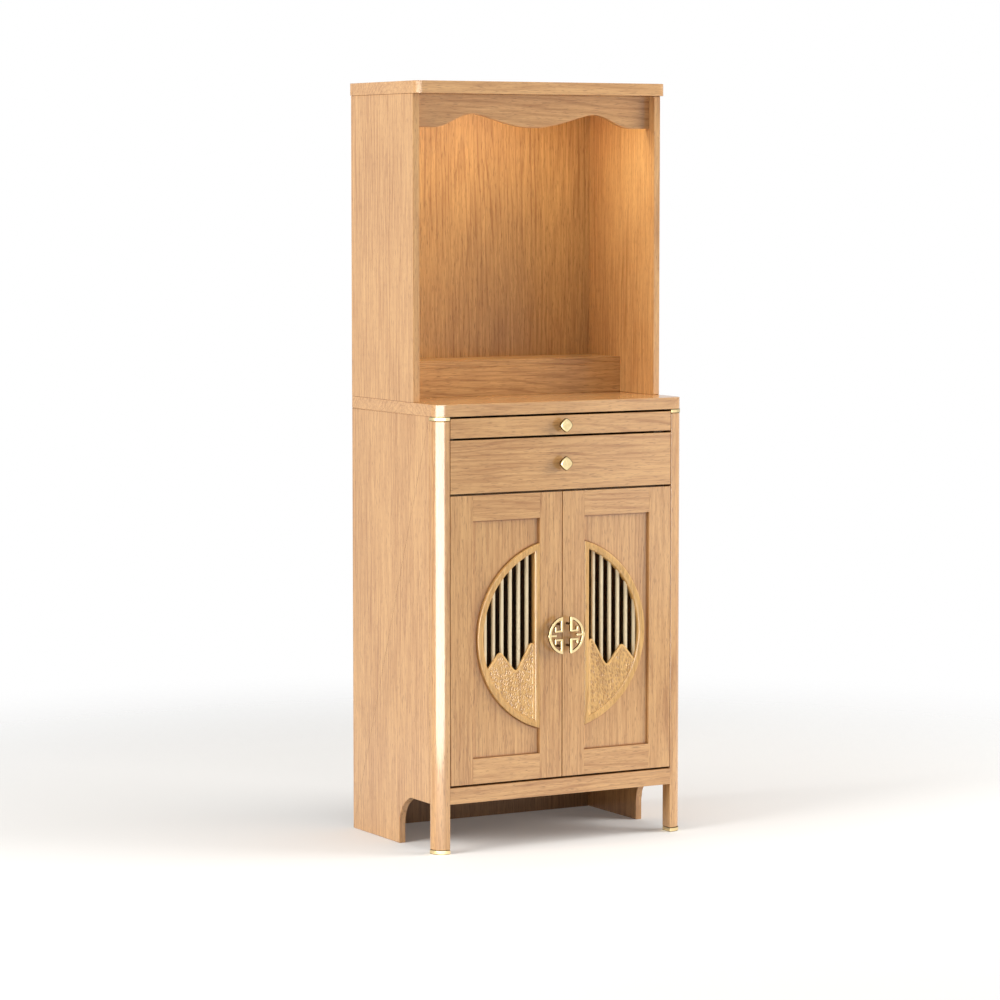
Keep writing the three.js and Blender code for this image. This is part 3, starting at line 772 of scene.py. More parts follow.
for node, radius in {"cap_board": CAP_CORNER, "counter_board": COUNTER_CORNER}.items():
    board_with_round_front(node, radius)
print("cap and counter made")

# %% [markdown]
# ## Posts, collars, feet and the sides of the niche
# The front posts are solid wood with their outer corner turned to a large radius, and each has a thin
# brass collar at its top and a brass foot. The sides of the niche have the same plan with a smaller
# radius. One function makes them all: only the radius and the finish differ.

# %% Uprights
UPRIGHT_EASE = 1.6 * MM
UPRIGHT_CORNER = 0.8 * MM
SEAM_HEIGHT = 1.0 * MM
UPRIGHTS = {
    "front_{}_post": (25 * MM, oak),
    "{}_post_collar": (26 * MM, brass),
    "{}_post_foot": (26 * MM, brass),
    "upper_{}_side": (1.6 * MM, oak),
}


def upright(node, side, radius, material):
    """Plan of the node's box with its outer front corner rounded. The outer edge is on the given side."""
    low, high = corners_of(node)
    inner, outer = (low[0], high[0]) if side > 0 else (high[0], low[0])
    radii = (UPRIGHT_CORNER, radius, UPRIGHT_CORNER, UPRIGHT_CORNER)
    plan = rectangle((inner, low[1]), (outer, high[1]), radii)
    return finish_board(node, rounded(plan), "z", UPRIGHT_EASE, "z", "y", FAR_HEART, material)


for word, side in SIDES.items():
    for pattern, (radius, material) in UPRIGHTS.items():
        piece = upright(pattern.format(word), side, radius, material)
        if material is brass:
            height = places_of(piece)[:, 2]
            from_end = np.minimum(height - height.min(), height.max() - height)
            store_values(piece, "patina_and_dark_reflection", np.clip(1.6 - from_end / SEAM_HEIGHT, 0, 1))
print("uprights:", 2 * len(UPRIGHTS))

# %% [markdown]
# ## The sides of the base
# Each side is cut away between the post and the rear leg, with a quarter-round corner at the back of the
# cut. The outline is drawn in depth and height and carried through the thickness. The cut's round corner
# is a corner like any other, only hollow, so the same helper makes it.

# %% Lower sides
LEG_CLEARANCE = 104 * MM
REAR_LEG_DEPTH = 213 * MM
ARCH_RADIUS = 64 * MM
for word in SIDES:
    node = f"lower_{word}_side"
    low, high = corners_of(node)
    leg_front = high[1] - REAR_LEG_DEPTH
    outline = rounded([
        (low[1], LEG_CLEARANCE, SMALL_CORNER), (leg_front, LEG_CLEARANCE, ARCH_RADIUS),
        (leg_front, low[2], SMALL_CORNER), (high[1], low[2], SMALL_CORNER),
        (high[1], high[2], SMALL_CORNER), (low[1], high[2], SMALL_CORNER),
    ])
    finish_board(node, outline, "x", UPRIGHT_EASE, "z", "y", FAR_HEART, oak)
print("lower sides made")

# %% [markdown]
# ## The valance
# The board under the cap has a lower edge of soft waves: level at each end, up to a crest, and down to the
# middle. The edge is two half waves of a cosine on each side, and the fall is a little steeper near the
# crest.

# %% Valance
VALANCE_SHOULDER = 47 * MM
VALANCE_CREST = 137 * MM
VALANCE_RISE = 28 * MM
VALANCE_SKEW = 0.8
VALANCE_HEART = 50 * MM
WAVE_POINTS = 40


def wave_edge(half_width, low):
    """The lower edge from the right end to the middle: up by half a cosine, then down by half a cosine of a
    skewed share."""
    shoulder, crest = half_width - VALANCE_SHOULDER, half_width - VALANCE_CREST
    share = np.linspace(0, 1, WAVE_POINTS)
    rise = (1 - np.cos(np.pi * share)) / 2
    up = np.stack([shoulder + (crest - shoulder) * share, low + VALANCE_RISE * rise], 1)
    fall = (1 + np.cos(np.pi * share ** VALANCE_SKEW)) / 2
    down = np.stack([crest * (1 - share), low + VALANCE_RISE * fall], 1)
    return np.concatenate([up, down[1:]])


low, high = corners_of("valance")
right_edge = wave_edge(high[0], low[2])
left_edge = right_edge[-2::-1] * (-1, 1)
edge = np.concatenate([right_edge, left_edge])
edge = np.concatenate([edge, np.full((len(edge), 1), ON_CURVE)], 1)
ends = [(low[0], low[2], SMALL_CORNER), (low[0], high[2], SMALL_CORNER)]
starts = [(high[0], high[2], SMALL_CORNER), (high[0], low[2], SMALL_CORNER)]
finish_board("valance", rounded([*starts, *edge, *ends]), "y", THICK_EASE, "x", "z", VALANCE_HEART, oak)
print("valance:", len(edge), "points along its edge")

# %% [markdown]
# ## The frames and panels of the doors
# A framed door has two stiles that run its whole height, two rails between them and a thin panel set back
# in the frame. The panel is cut away round the half-moon, so its outline is a C. The circle is centred on
# the line between the two doors, so both halves make one moon when the doors are shut.

# %% Door frames and panels
FRAME_EASE = 0.35 * MM
PANEL_EASE = 1.2 * MM
PANEL_CORNER = 1.6 * PANEL_EASE
RAIL_HEART = 50 * MM
# Width of the painted shade along the frame and the moon.
PAINTED_SHADE_WIDTH = 6 * MM
MOON_RADIUS = 203 * MM
MOON_RING = 14 * MM
MOON_BAR = 12 * MM
INSERT_CLEARANCE = 0.3 * MM
ARC_POINTS = 120

stile_low, stile_high = corners_of("right_door_inner_stile")
opening_inner = stile_high[0]
door_centre = (stile_low[2] + stile_high[2]) / 2
front_plane = stile_low[1]


def arc_rows(radius, line):
    """The arc round the door centre on the right of an upright line, from its lower end to its upper one."""
    reach = math.acos(line / radius)
    angle = np.linspace(-reach, reach, ARC_POINTS)
    return np.stack([radius * np.cos(angle), door_centre + radius * np.sin(angle)], 1)


def corner_toner(tree):
    """Share of painted shade on a door panel, darkening it where the frame and the moon shade the recess: 1
    at the frame and the moon, falling to 0 as the square of the distance left to the shade's width."""
    place = add_node(tree, "ShaderNodeTexCoord").outputs["Object"]
    x, y, z = add_node(tree, "ShaderNodeSeparateXYZ", {0: place}).outputs
    panel_low, panel_high = corners_of("right_door_panel")
    from_middle = calculate(tree, "ABSOLUTE", x)
    height = calculate(tree, "SUBTRACT", z, door_centre)
    level = add_node(tree, "ShaderNodeCombineXYZ", {0: x, 1: height}).outputs[0]
    reach = add_node(tree, "ShaderNodeVectorMath", {0: level}, operation="LENGTH").outputs["Value"]
    distances = [
        calculate(tree, "SUBTRACT", reach, MOON_RADIUS),
        calculate(tree, "SUBTRACT", from_middle, opening_inner),
        calculate(tree, "SUBTRACT", panel_high[0], from_middle),
        calculate(tree, "SUBTRACT", z, panel_low[2]),
        calculate(tree, "SUBTRACT", panel_high[2], z),
    ]
    nearest = distances[0]
    for distance in distances[1:]:
        nearest = calculate(tree, "MINIMUM", nearest, distance)
    share = ranged(tree, nearest, 0.0, PAINTED_SHADE_WIDTH, 1.0, 0.0)
    return calculate(tree, "MULTIPLY", share, share)


# The door panels' oak is painted darker along the frame and the moon: painted shade in the recess.
shaded_oak_of_panels = wood("painted_shade_oak_of_panels", **PALE_OAK, shade_in_corners=corner_toner)


def door_panel(word, side):
    """The C-shaped panel: its outer corners, then round the moon. Its edges are eased enough to leave a dark
    groove along the frame and the moon."""
    node = f"{word}_door_panel"
    low, high = corners_of(node)
    outer = max(abs(low[0]), abs(high[0]))
    arc = arc_rows(MOON_RADIUS + INSERT_CLEARANCE, opening_inner)
    arc = np.concatenate([arc, np.full((len(arc), 1), ON_CURVE)], 1)
    arc[[0, -1], 2] = PANEL_CORNER
    ends = [(outer, high[2]), (outer, low[2]), (opening_inner, low[2]), (opening_inner, high[2])]
    ends = [(*end, PANEL_CORNER) for end in ends]
    rows = np.array([*ends[:3], *arc, ends[3]])
    rows[:, 0] *= side
    return finish_board(node, rounded(rows), "y", PANEL_EASE, "z", "x", FAR_HEART, shaded_oak_of_panels)


for word, side in SIDES.items():
    for part in ("inner_stile", "outer_stile"):
        plain_board(f"{word}_door_{part}", "z", "x", FAR_HEART, ease=FRAME_EASE)
    for part in ("top_rail", "bottom_rail"):
        plain_board(f"{word}_door_{part}", "x", "z", RAIL_HEART, ease=FRAME_EASE)
    door_panel(word, side)
print("doors: centre at", round(door_centre, 4), "m")

# %% [markdown]
# ## The half-moon mouldings
# Each half-moon is framed by one moulding: a ring along the circle and a straight bar along the stile. It
# stands a little proud, with a narrow groove round it. Its section is nearly flat with rounded edges, and
# it falls away towards the carving. The surface is a grid: one direction runs round the half-moon, the
# other goes round the section, from the outer line to the inner line and back behind.

# %% Half-moon mouldings
BAR_POINTS = 60
CROWN_POINTS = 21
CROWN_RISE = 2.2 * MM
CROWN_SQUARENESS = 0.45
CROWN_FALL = 1.6 * MM
MOON_GROOVE = 0.5 * MM
MOULDING_HEART = 30 * MM


def half_moon_line(radius, line):
    """Points round a half-moon: up the arc, then down the straight bar."""
    arc = arc_rows(radius, line)
    share = np.linspace(0, 1, BAR_POINTS + 2)[1:-1, None]
    bar = arc[-1] + (arc[0] - arc[-1]) * share
    return np.concatenate([arc, bar])


def moulded_half_moon(word, side):
    """Point = outer line + t * (inner line - outer line), at depth y. The section (t, y) is a flattened
    round with t = (1 - cos a) / 2 and y = front + rise * (1 - (sin a)^squareness) + fall * t^2, and two
    square corners at the back."""
    node = f"{word}_moon_frame"
    low, high = corners_of(node)
    outer = half_moon_line(MOON_RADIUS - MOON_GROOVE, opening_inner + MOON_GROOVE)
    inner = half_moon_line(MOON_RADIUS - MOON_RING, opening_inner + MOON_BAR)
    a = np.linspace(0, np.pi, CROWN_POINTS)
    t = np.concatenate([[0], (1 - np.cos(a)) / 2, [1]])
    crown = CROWN_RISE * (1 - np.clip(np.sin(a), 0, 1) ** CROWN_SQUARENESS) + CROWN_FALL * t[1:-1] ** 2
    y = np.concatenate([[high[1]], low[1] + crown, [high[1]]])
    across = outer[None] + t[:, None, None] * (inner - outer)[None]
    points = placed(across * (side, 1), y[:, None], "y")
    quads = grid_faces(len(t), len(outer), wrap_rows=True, wrap_columns=True)
    piece = new_piece("moulded_" + node, points.reshape(-1, 3), quads)
    mark_grain(piece, "z", "x", MOULDING_HEART)
    return dress(piece, node, golden_oak)


for word, side in SIDES.items():
    moulded_half_moon(word, side)
print("mouldings:", CROWN_POINTS + 2, "points round the section")

# %% [markdown]
# ## The slats
# Six thin uprights fill each half-moon. Their fronts are nearly flat with well rounded edges, so each one
# stands as a pale line against the dark inside of the cabinet. They stop on the ring, so each end follows
# the circle.

# %% Slats
SLAT_COUNT = 6
SLAT_EDGE = 1.6 * MM
SLAT_BACK_EDGE = 0.4 * MM


def round_slat(word, index):
    """The section's points, each carried from the lower to the upper arc: z = centre -/+ sqrt(R^2 - x^2)."""
    node = f"{word}_slat_{index}"
    low, high = corners_of(node)
    radii = (SLAT_EDGE, SLAT_EDGE, SLAT_BACK_EDGE, SLAT_BACK_EDGE)
    section = rounded(rectangle(low[:2], high[:2], radii))[0]
    radius = MOON_RADIUS - MOON_RING - INSERT_CLEARANCE
    half_height = np.sqrt(radius ** 2 - section[:, 0] ** 2)
    level = door_centre + np.array([-1, 1])[:, None] * half_height
    points = placed(np.broadcast_to(section, (2, *section.shape)), level, "z").reshape(-1, 3)
    quads = grid_faces(2, len(section), wrap_columns=True)
    piece = new_piece("rounded_" + node, points, quads, end_caps(2, len(section)))
    mark_grain(piece, "z", "x", FAR_HEART)
    return dress(piece, node, pale_slat_oak)


for word in SIDES:
    for index in range(1, SLAT_COUNT + 1):
        round_slat(word, index)
print("slats:", 2 * SLAT_COUNT)

# %% [markdown]
# ## The carved mountains
# The lower part of each half-moon is a board carved as two peaks. A carver works such a ground with a
# small gouge, scoop beside scoop, so that it glitters, and leaves a smooth rim along the ridge line and
# the bar. Each scoop is a small hollow: its depth grows towards the middle of its own cell, so neighbours
# meet in crisp ridges. The cells are long and lean with the slopes. The ridges between them catch the
# light, and the depth is also stored as an attribute for the colour: painted shade, darker towards the
# middle of each scoop, and a painted highlight, paler on the smooth rim.
# The surface is a grid of columns between the ring below and the ridge above, with a flat back.

# %% Ridge line of the mountains
MOUNTAIN_COLUMNS = 196
MOUNTAIN_ROWS = 240
RIDGE_POINTS = {
    "bar_shoulder": (0.0, 0.127),
    "inner_peak": (0.053, 0.060),
    "valley": (0.357, 0.618),
    "outer_peak": (0.67, 0.200),
}
RING_SHOULDER = 0.51
PEAK_SOFTNESS = 4.6 * MM
TIP_GAP = 0.4 * MM
LEAST_RISE = 0.2 * MM


def soft_bend(x, values, knots, softness):
    """A line through knots whose corners are rounded: each change of slope s at knot k adds
    s * (d + sqrt(d^2 + softness^2)) / 2 with d = x - k, instead of the sharp s * max(d, 0)."""
    slopes = np.diff(values) / np.diff(knots)
    line = values[0] + slopes[0] * (x - knots[0])
    for knot, change in zip(knots[1:-1], np.diff(slopes)):
        away = x - knot
        line = line + change * (away + np.sqrt(away ** 2 + softness ** 2)) / 2
    return line


def mountain_edges(columns):
    """x of the columns, and the heights of the ring and of the ridge above each, from the door centre."""
    radius = MOON_RADIUS - MOON_RING - INSERT_CLEARANCE
    inner = opening_inner + MOON_BAR + INSERT_CLEARANCE
    span = radius - inner
    shoulder_drop = RING_SHOULDER * span
    outer = math.sqrt(radius ** 2 - shoulder_drop ** 2)
    across, down = np.array(list(RIDGE_POINTS.values())).T * span
    knots = np.append(inner + across, outer)
    drops = np.append(-down, -shoulder_drop)
    x = np.linspace(inner, outer - TIP_GAP, columns)
    ring = -np.sqrt(radius ** 2 - x ** 2)
    ridge = soft_bend(x, drops, knots, PEAK_SOFTNESS)
    return x, ring, np.maximum(ridge, ring + LEAST_RISE)


ridge_x, ridge_ring, ridge_line = mountain_edges(MOUNTAIN_COLUMNS)
print("ridge: highest", round(float(ridge_line.max()) / MM, 1), "mm from the door centre")

# %% Gouge work and the mountain boards
SCOOP_WIDTH = 5.0 * MM
SCOOP_LENGTH = 11.0 * MM
SCOOP_DEPTH = 1.4 * MM
SCOOP_LEAN = 0.3
SCOOP_DRIFT = 1.6 * MM
DRIFT_WAVES = (9 * MM, 14 * MM)
SCOOP_SHARES = (0.55, 0.45)
# Painted shade in the scoops: its shares, lift, middle and spread.
SCOOP_SHADE_SHARES = (0.45, 0.55)
SCOOP_SHADE_LIFT = 1.3
SCOOP_SHADE_MIDDLE = 0.5
SCOOP_SHADE_SPREAD = 0.9
GROUND_DEPTH = 0.7 * MM
RIM_WIDTH = 4.0 * MM
RIM_SLOPE = 0.8 * MM
# Painted highlight: the rim is painted paler.
RIM_PAINTED_HIGHLIGHT = -0.5
RIDGE_ROUND = 0.8 * MM
RIDGE_ROUND_WIDTH = 1.2 * MM
CARVING_HEART = 60 * MM
CARVING_SEED = 11


def gouge_cells(u, v):
    """Distance from each point to the nearest of a field of jittered centres, one to each unit square, as a
    share of the way to the next one: 0 in the middle of a scoop and 1 on a ridge between two."""
    rng = np.random.default_rng(CARVING_SEED)
    size = int(np.ceil(max(np.ptp(u), np.ptp(v)))) + 4
    jitter = rng.random((size, size, 3))
    u, v = (u - u.min())[..., None], (v - v.min())[..., None]
    steps = np.array([(i, j) for i in (-1, 0, 1) for j in (-1, 0, 1)])
    near_u = np.floor(u).astype(int) + 1 + steps[:, 0]
    near_v = np.floor(v).astype(int) + 1 + steps[:, 1]
    spot = jitter[near_u % size, near_v % size]
    distance = np.hypot(near_u + spot[..., 0] - (u + 1), near_v + spot[..., 1] - (v + 1))
    nearest, second = np.sort(distance, -1)[..., :2].transpose(2, 0, 1)
    depth_share = np.take_along_axis(spot[..., 2], distance.argmin(-1)[..., None], -1)[..., 0]
    return nearest / (nearest + second) * 2, depth_share


def smooth_step(value):
    """0 below 0, 1 above 1 and 3 v^2 - 2 v^3 between."""
    value = np.clip(value, 0, 1)
    return value * value * (3 - 2 * value)


def carved_mountain(word, side):
    """Front y = base + scoop depth away from the rim, and it falls back in a round at the ridge line. Of
    each pair of shares, every scoop has the first, and chance adds up to the second. The hollow value is
    painted shade inside, spread * (shade of the scoop - the middle shade), darkest towards each scoop's
    middle, and one pale value on the rim as a painted highlight."""
    node = f"{word}_mountain_board"
    low, high = corners_of(node)
    share = np.linspace(0, 1, MOUNTAIN_ROWS)[:, None]
    z = ridge_ring + share * (ridge_line - ridge_ring)
    x = np.broadcast_to(ridge_x, z.shape)
    slope = np.gradient(ridge_line, ridge_x)
    to_ridge = (ridge_line - z) / np.sqrt(1 + slope ** 2)
    to_bar = x - ridge_x[0]
    rim = np.minimum(to_ridge, to_bar)
    drift = SCOOP_DRIFT * np.sin(z / DRIFT_WAVES[0] + x / DRIFT_WAVES[1])
    closeness, depth_share = gouge_cells((x + SCOOP_LEAN * z + drift) / SCOOP_WIDTH, z / SCOOP_LENGTH)
    scoop = SCOOP_DEPTH * (SCOOP_SHARES[0] + SCOOP_SHARES[1] * depth_share) * (1 - closeness ** 2)
    ground = GROUND_DEPTH + scoop
    open_ground = smooth_step((rim - RIM_WIDTH) / RIM_SLOPE)
    from_round = 1 - np.clip(rim / RIDGE_ROUND_WIDTH, 0, 1)
    edge_round = RIDGE_ROUND * (1 - np.sqrt(1 - from_round ** 2))
    face = np.stack([side * x, door_centre + z], -1)
    front = placed(face, low[1] + open_ground * ground + edge_round, "y")
    back = placed(face, high[1], "y")
    # Painted shade, darker towards the middle of each scoop, and a painted highlight, paler on the smooth
    # rim.
    tone = (SCOOP_SHADE_SHARES[0] + SCOOP_SHADE_SHARES[1] * depth_share) * (SCOOP_SHADE_LIFT - closeness ** 2)
    deep = SCOOP_SHADE_SPREAD * (tone - SCOOP_SHADE_MIDDLE)
    hollow = RIM_PAINTED_HIGHLIGHT + open_ground * (deep - RIM_PAINTED_HIGHLIGHT)
    return node, front, back, np.concatenate([hollow.ravel(), np.zeros(hollow.size)])


def sheet_with_back(front, back):
    """A front grid and a back grid of one size, joined round their borders into one closed skin."""
    rows, columns = front.shape[:2]
    points = np.concatenate([front.reshape(-1, 3), back.reshape(-1, 3)])
    number = np.arange(rows * columns).reshape(rows, columns)
    border = np.concatenate([number[0, :-1], number[:-1, -1], number[-1, :0:-1], number[:0:-1, 0]])
    following = np.roll(border, -1)
    offset = rows * columns
    face = grid_faces(rows, columns)
    wall = np.stack([following, border, border + offset, following + offset], 1)
    return points, np.concatenate([face, face[:, ::-1] + offset, wall])


for word, side in SIDES.items():
    node, front, back, hollow = carved_mountain(word, side)
    points, quads = sheet_with_back(front, back)
    piece = new_piece("carved_" + node, points, quads, crease_degrees=50)
    store_values(piece, "hollow", hollow)
    mark_grain(piece, "z", "x", CARVING_HEART)
    dress(piece, node, golden_oak)
    print(piece.name, len(quads), "quads")

# %% [markdown]
# ## The door handles
# Each handle is half of a pierced disc: an outer band, a straight edge that is open in the middle, two
# hooked arms and a tongue between them. Because the opening reaches the edge, the whole fret is one closed
# outline. It is drawn for the right-hand door, from the lip of the gap round the outside and back through
# the fret. Two turned pegs hold it off the door.

# %% Door handles
HANDLE_REACH = 20 * MM
HANDLE_THICKNESS = 7 * MM
DISC_RADIUS = 40 * MM
DISC_BAND = 5.2 * MM
DISC_SPLIT = 2.4 * MM
EDGE_LINE = 9 * MM
GAP_HALF = 7 * MM
ARM_WIDTH = 4.2 * MM
ARM_END = 28.5 * MM
HOOK_RISE = 7.5 * MM
TONGUE_HALF = 2.2 * MM
TONGUE_TIP = 24.4 * MM
BUMP_HALF = 5 * MM
BUMP_REACH = 1.4 * MM
FRET_EASE = 0.9 * MM
FRET_CORNER = 1.6 * MM
PEG_RADIUS = 3 * MM
PEG_HEIGHT = 23 * MM
PEG_GRID = (28, 9)
FRET_ARC_POINTS = 26
BRIGHT_DEPTH = 0.5 * MM


def mark_patina(piece):
    """Painted dark reflection = 0 on the polished face, rising to 1 where the surface is twice the bright
    depth behind it, so the cut sides are painted dark.
    """
    behind = places_of(piece)[:, 1]
    behind = behind - behind.min()
    store_values(piece, "patina_and_dark_reflection", np.clip(behind / BRIGHT_DEPTH - 1, 0, 1))
    return piece


def circle_run(radius, start_height, end_height):
    """Smooth points on the disc's circle from one height to another, above the middle."""
    angle = np.linspace(math.asin(start_height / radius), math.asin(end_height / radius), FRET_ARC_POINTS)
    run = np.stack([DISC_SPLIT + radius * np.cos(angle), radius * np.sin(angle)], 1)
    return np.concatenate([run, np.full((len(run), 1), ON_CURVE)], 1)


def fret_half():
    """The upper half of the fret's outline, from the lip of the gap round the outside to the bump's middle,
    and from the tongue back to the lip."""
    r, inner_radius = FRET_CORNER, DISC_RADIUS - DISC_BAND
    top = math.sqrt(DISC_RADIUS ** 2 - (EDGE_LINE - DISC_SPLIT) ** 2)
    inner_edge = EDGE_LINE + DISC_BAND
    inner_top = math.sqrt(inner_radius ** 2 - (inner_edge - DISC_SPLIT) ** 2)
    rim = DISC_SPLIT + DISC_RADIUS
    arm_top = GAP_HALF + ARM_WIDTH
    outside = np.array([
        (EDGE_LINE, GAP_HALF, r), (EDGE_LINE, top, r),
        *circle_run(DISC_RADIUS, top, BUMP_HALF)[1:-1],
        (rim + 0.1 * BUMP_REACH, BUMP_HALF, 2 * r), (rim + BUMP_REACH, BUMP_HALF - 2 * BUMP_REACH, 2 * r),
    ])
    inside = np.array([
        (TONGUE_TIP, TONGUE_HALF, r),
        (DISC_SPLIT + inner_radius - 0.1 * MM, TONGUE_HALF, 0.8 * r),
        *circle_run(inner_radius, TONGUE_HALF + r, inner_top)[1:-1],
        (inner_edge, inner_top, r), (inner_edge, arm_top, 0.5 * r),
        (ARM_END - ARM_WIDTH, arm_top, 0.5 * r), (ARM_END - ARM_WIDTH, arm_top + HOOK_RISE, r),
        (ARM_END, arm_top + HOOK_RISE, r), (ARM_END, GAP_HALF, r),
    ])
    return outside, inside


def turned_peg(height, side):
    """A peg from the door to the fret: a circle whose radius is r * (0.86 + 0.14 * (2 s - 1)^4) at the share
    s of its length, so it swells towards both ends."""
    count, levels = PEG_GRID
    share = np.linspace(0, 1, levels)
    radius = PEG_RADIUS * (0.86 + 0.14 * (2 * share - 1) ** 4)
    angle = np.linspace(0, 2 * np.pi, count, endpoint=False)
    ring = np.stack([np.cos(angle), np.sin(angle)], -1)
    centre = np.array([side * (EDGE_LINE + DISC_BAND / 2), door_centre + height])
    y = front_plane - share * (HANDLE_REACH - HANDLE_THICKNESS / 2)
    points = placed(centre + radius[:, None, None] * ring, y[:, None], "y").reshape(-1, 3)
    normals = placed(np.broadcast_to(ring, (levels, count, 2)), np.zeros((levels, 1)), "y").reshape(-1, 3)
    return points, grid_faces(levels, count, wrap_columns=True)[:, ::-1], end_caps(levels, count), normals


def pierced_handle(side):
    """The fret as an eased slab of one closed outline, and its pegs, all facing outwards."""
    outside, inside = fret_half()
    rows = np.concatenate([outside, outside[::-1] * (1, -1, 1), inside[::-1] * (1, -1, 1), inside])
    rows[:, 0] *= side
    rows[:, 1] += door_centre
    front = front_plane - HANDLE_REACH
    fret = eased_slab(rounded(rows), "y", front, front + HANDLE_THICKNESS, FRET_EASE)
    parts = [fret, turned_peg(PEG_HEIGHT, side), turned_peg(-PEG_HEIGHT, side)]
    return [(points, *facing_out(points, quads, caps), normals) for points, quads, caps, normals in parts]


for word, side in SIDES.items():
    node = f"{word}_door_handle"
    parts = pierced_handle(side)
    dress(mark_patina(new_piece("pierced_" + node, *merged_parts(parts))), node, brass)
print("handles made,", len(parts[0][0]), "points in each fret")

# %% [markdown]
# ## The knobs
# A knob is a square button set on its corner, with soft tips, a chamfered rim and four small petals
# pressed into its face, on a round stem. It is one surface of rings: each ring is a circle near the door,
# turns into the soft square at the head, then shrinks over the face to a tiny ring in its middle.

# %% Knobs
KNOB_HALF = 15 * MM
KNOB_REACH = 20 * MM
KNOB_HEAD = 9 * MM
KNOB_BEVEL = 2.0 * MM
KNOB_CROWN = 0.3 * MM
STEM_RADIUS = 5 * MM
SOFT_SQUARE_POWER = 1.36
PETAL_DEPTH = 0.45 * MM
PETAL_PLACE = 4.6 * MM
PETAL_SIZE = 1.9 * MM
PETAL_STRETCH = 1.5
KNOB_COLUMNS = 96
FACE_RINGS = 36


def knob_rings():
    """Rows of (radius, distance from the door, squareness): the stem's foot, waist and neck, the back of the
    head with its bevel, the head's edge, and the front bevel up to the face's rim."""
    stem, half, bevel = STEM_RADIUS, KNOB_HALF, KNOB_BEVEL
    back, front = KNOB_REACH - KNOB_HEAD, KNOB_REACH
    foot = [(stem * 1.35, 0.0, 0.0), (stem * 1.35, 1.2 * MM, 0.0), (stem * 1.05, 2.2 * MM, 0.0)]
    waist = [(stem * 0.9, 5.0 * MM, 0.0), (stem * 0.9, back - 1.0 * MM, 0.0)]
    neck = [(stem * 1.1, back - 0.1 * MM, 0.2)]
    head_back = [
        (half - bevel - 0.3 * MM, back, 1.0), (half - bevel, back + 0.1 * MM, 1.0),
        (half - 0.25 * MM, back + bevel - 0.3 * MM, 1.0), (half, back + bevel, 1.0),
    ]
    head_front = [
        (half, front - bevel - 0.6 * MM, 1.0), (half - 0.2 * MM, front - bevel - 0.2 * MM, 1.0),
        (half - 2.8 * MM, front - 0.5 * MM, 1.0), (half - 3.2 * MM, front - 0.3 * MM, 1.0),
    ]
    return np.array(foot + waist + neck + head_back + head_front)


def petals(u, v):
    """Four round-ended hollows on the upright and level axes: a bell of the distance to each centre."""
    hollow = np.zeros_like(u)
    for place_u, place_v in ((1, 0), (-1, 0), (0, 1), (0, -1)):
        du, dv = u - PETAL_PLACE * place_u, v - PETAL_PLACE * place_v
        long_way = np.where(place_u != 0, du, dv)
        wide_way = np.where(place_u != 0, dv, du)
        hollow += np.exp(-((long_way / (PETAL_STRETCH * PETAL_SIZE)) ** 2 + (wide_way / PETAL_SIZE) ** 2))
    return hollow


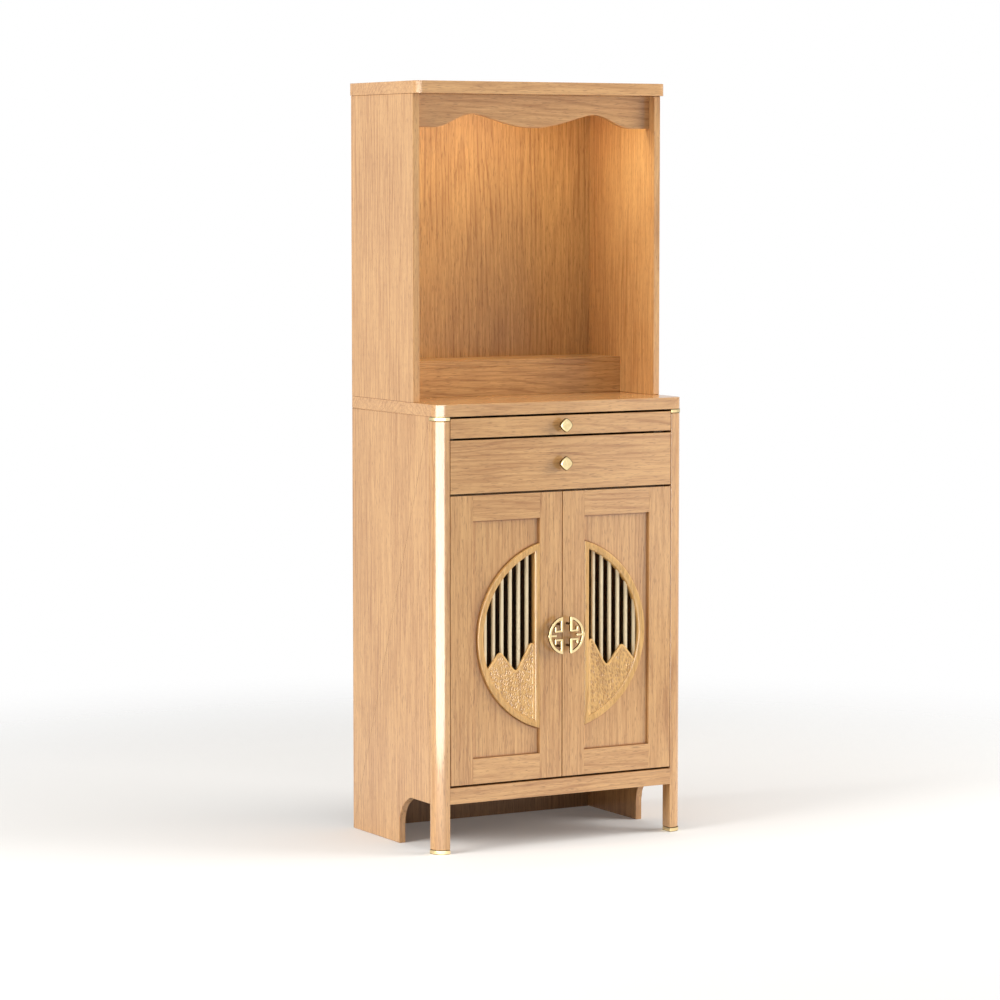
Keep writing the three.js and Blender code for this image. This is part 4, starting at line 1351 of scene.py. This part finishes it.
def pressed_knob(node):
    """Point = radius * unit ring, where the unit ring blends from a circle to |u|^p + |v|^p = 1. The petals
    are pressed into the rings of the face alone."""
    low, high = corners_of(node)
    middle = (low + high) / 2
    angle = np.linspace(0, 2 * np.pi, KNOB_COLUMNS, endpoint=False)
    circle = np.stack([np.cos(angle), np.sin(angle)], -1)
    power = SOFT_SQUARE_POWER
    square = circle / np.sum(np.abs(circle) ** power, -1, keepdims=True) ** (1 / power)
    rows = knob_rings()
    share = np.linspace(1, 0, FACE_RINGS + 1)[1:-1]
    crown = KNOB_CROWN * (1 - share ** 2)
    face = np.stack([rows[-1, 0] * share, rows[-1, 1] + crown, np.ones_like(share)], 1)
    rows = np.concatenate([rows, face])
    blend = rows[:, 2][:, None, None]
    ring = rows[:, 0][:, None, None] * (circle * (1 - blend) + square * blend)
    on_face = np.arange(len(rows)) >= len(rows) - len(face)
    pressed = PETAL_DEPTH * petals(ring[..., 0], ring[..., 1]) * on_face[:, None]
    y = high[1] - rows[:, 1][:, None] + pressed
    points = placed(ring + (middle[0], middle[2]), y, "y").reshape(-1, 3)
    quads = grid_faces(len(rows), KNOB_COLUMNS, wrap_columns=True)
    caps = end_caps(len(rows), KNOB_COLUMNS)
    piece = new_piece("pressed_" + node, points, quads, caps, crease_degrees=28)
    return dress(mark_patina(piece), node, brass)


for node in ("tray_knob", "drawer_knob"):
    print(pressed_knob(node).name, "made")

# %% [markdown]
# ## The lamp in the niche
# The lamp hides behind the valance. Its glowing strip is modelled as a small eased bar. An area light just
# under it, as deep and nearly as long, does the lighting, because a lamp is sampled with less noise than a
# glowing mesh.

# %% Niche lamp
NICHE_WATTS = 1.2
NICHE_LAMP_LENGTH = 360 * MM
NICHE_COLOUR = (0.94, 1.0, 0.84)
NICHE_LAMP_DROP = 1.0 * MM

low, high = corners_of("niche_light")
plain_board("niche_light", "x", "y", FAR_HEART, ease=1.2 * MM, material=diffuser)
lamp_place = ((low[0] + high[0]) / 2, (low[1] + high[1]) / 2, low[2] - NICHE_LAMP_DROP)
lamp_size = (NICHE_LAMP_LENGTH, high[1] - low[1])
below_lamp = (lamp_place[0], lamp_place[1], 0)
aimed_light("niche_lamp", lamp_place, below_lamp, lamp_size, NICHE_WATTS, NICHE_COLOUR)
print("niche lamp:", NICHE_WATTS, "W")

# %% [markdown]
# ## The floor, and the last lines
# The floor is a disc of paper under the cabinet.

# %% Floor and finish
floor_angle = np.linspace(0, 2 * np.pi, 96, endpoint=False)
floor_rim = FLOOR_RADIUS * np.stack([np.cos(floor_angle), np.sin(floor_angle), 0 * floor_angle], 1)
floor_mesh = bpy.data.meshes.new("pale_floor")
floor_mesh.from_pydata(floor_rim.tolist(), [], [list(range(len(floor_rim)))])
floor = bpy.data.objects.new("pale_floor", floor_mesh)
floor_mesh.materials.append(floor_paper)
bpy.context.scene.collection.objects.link(floor)
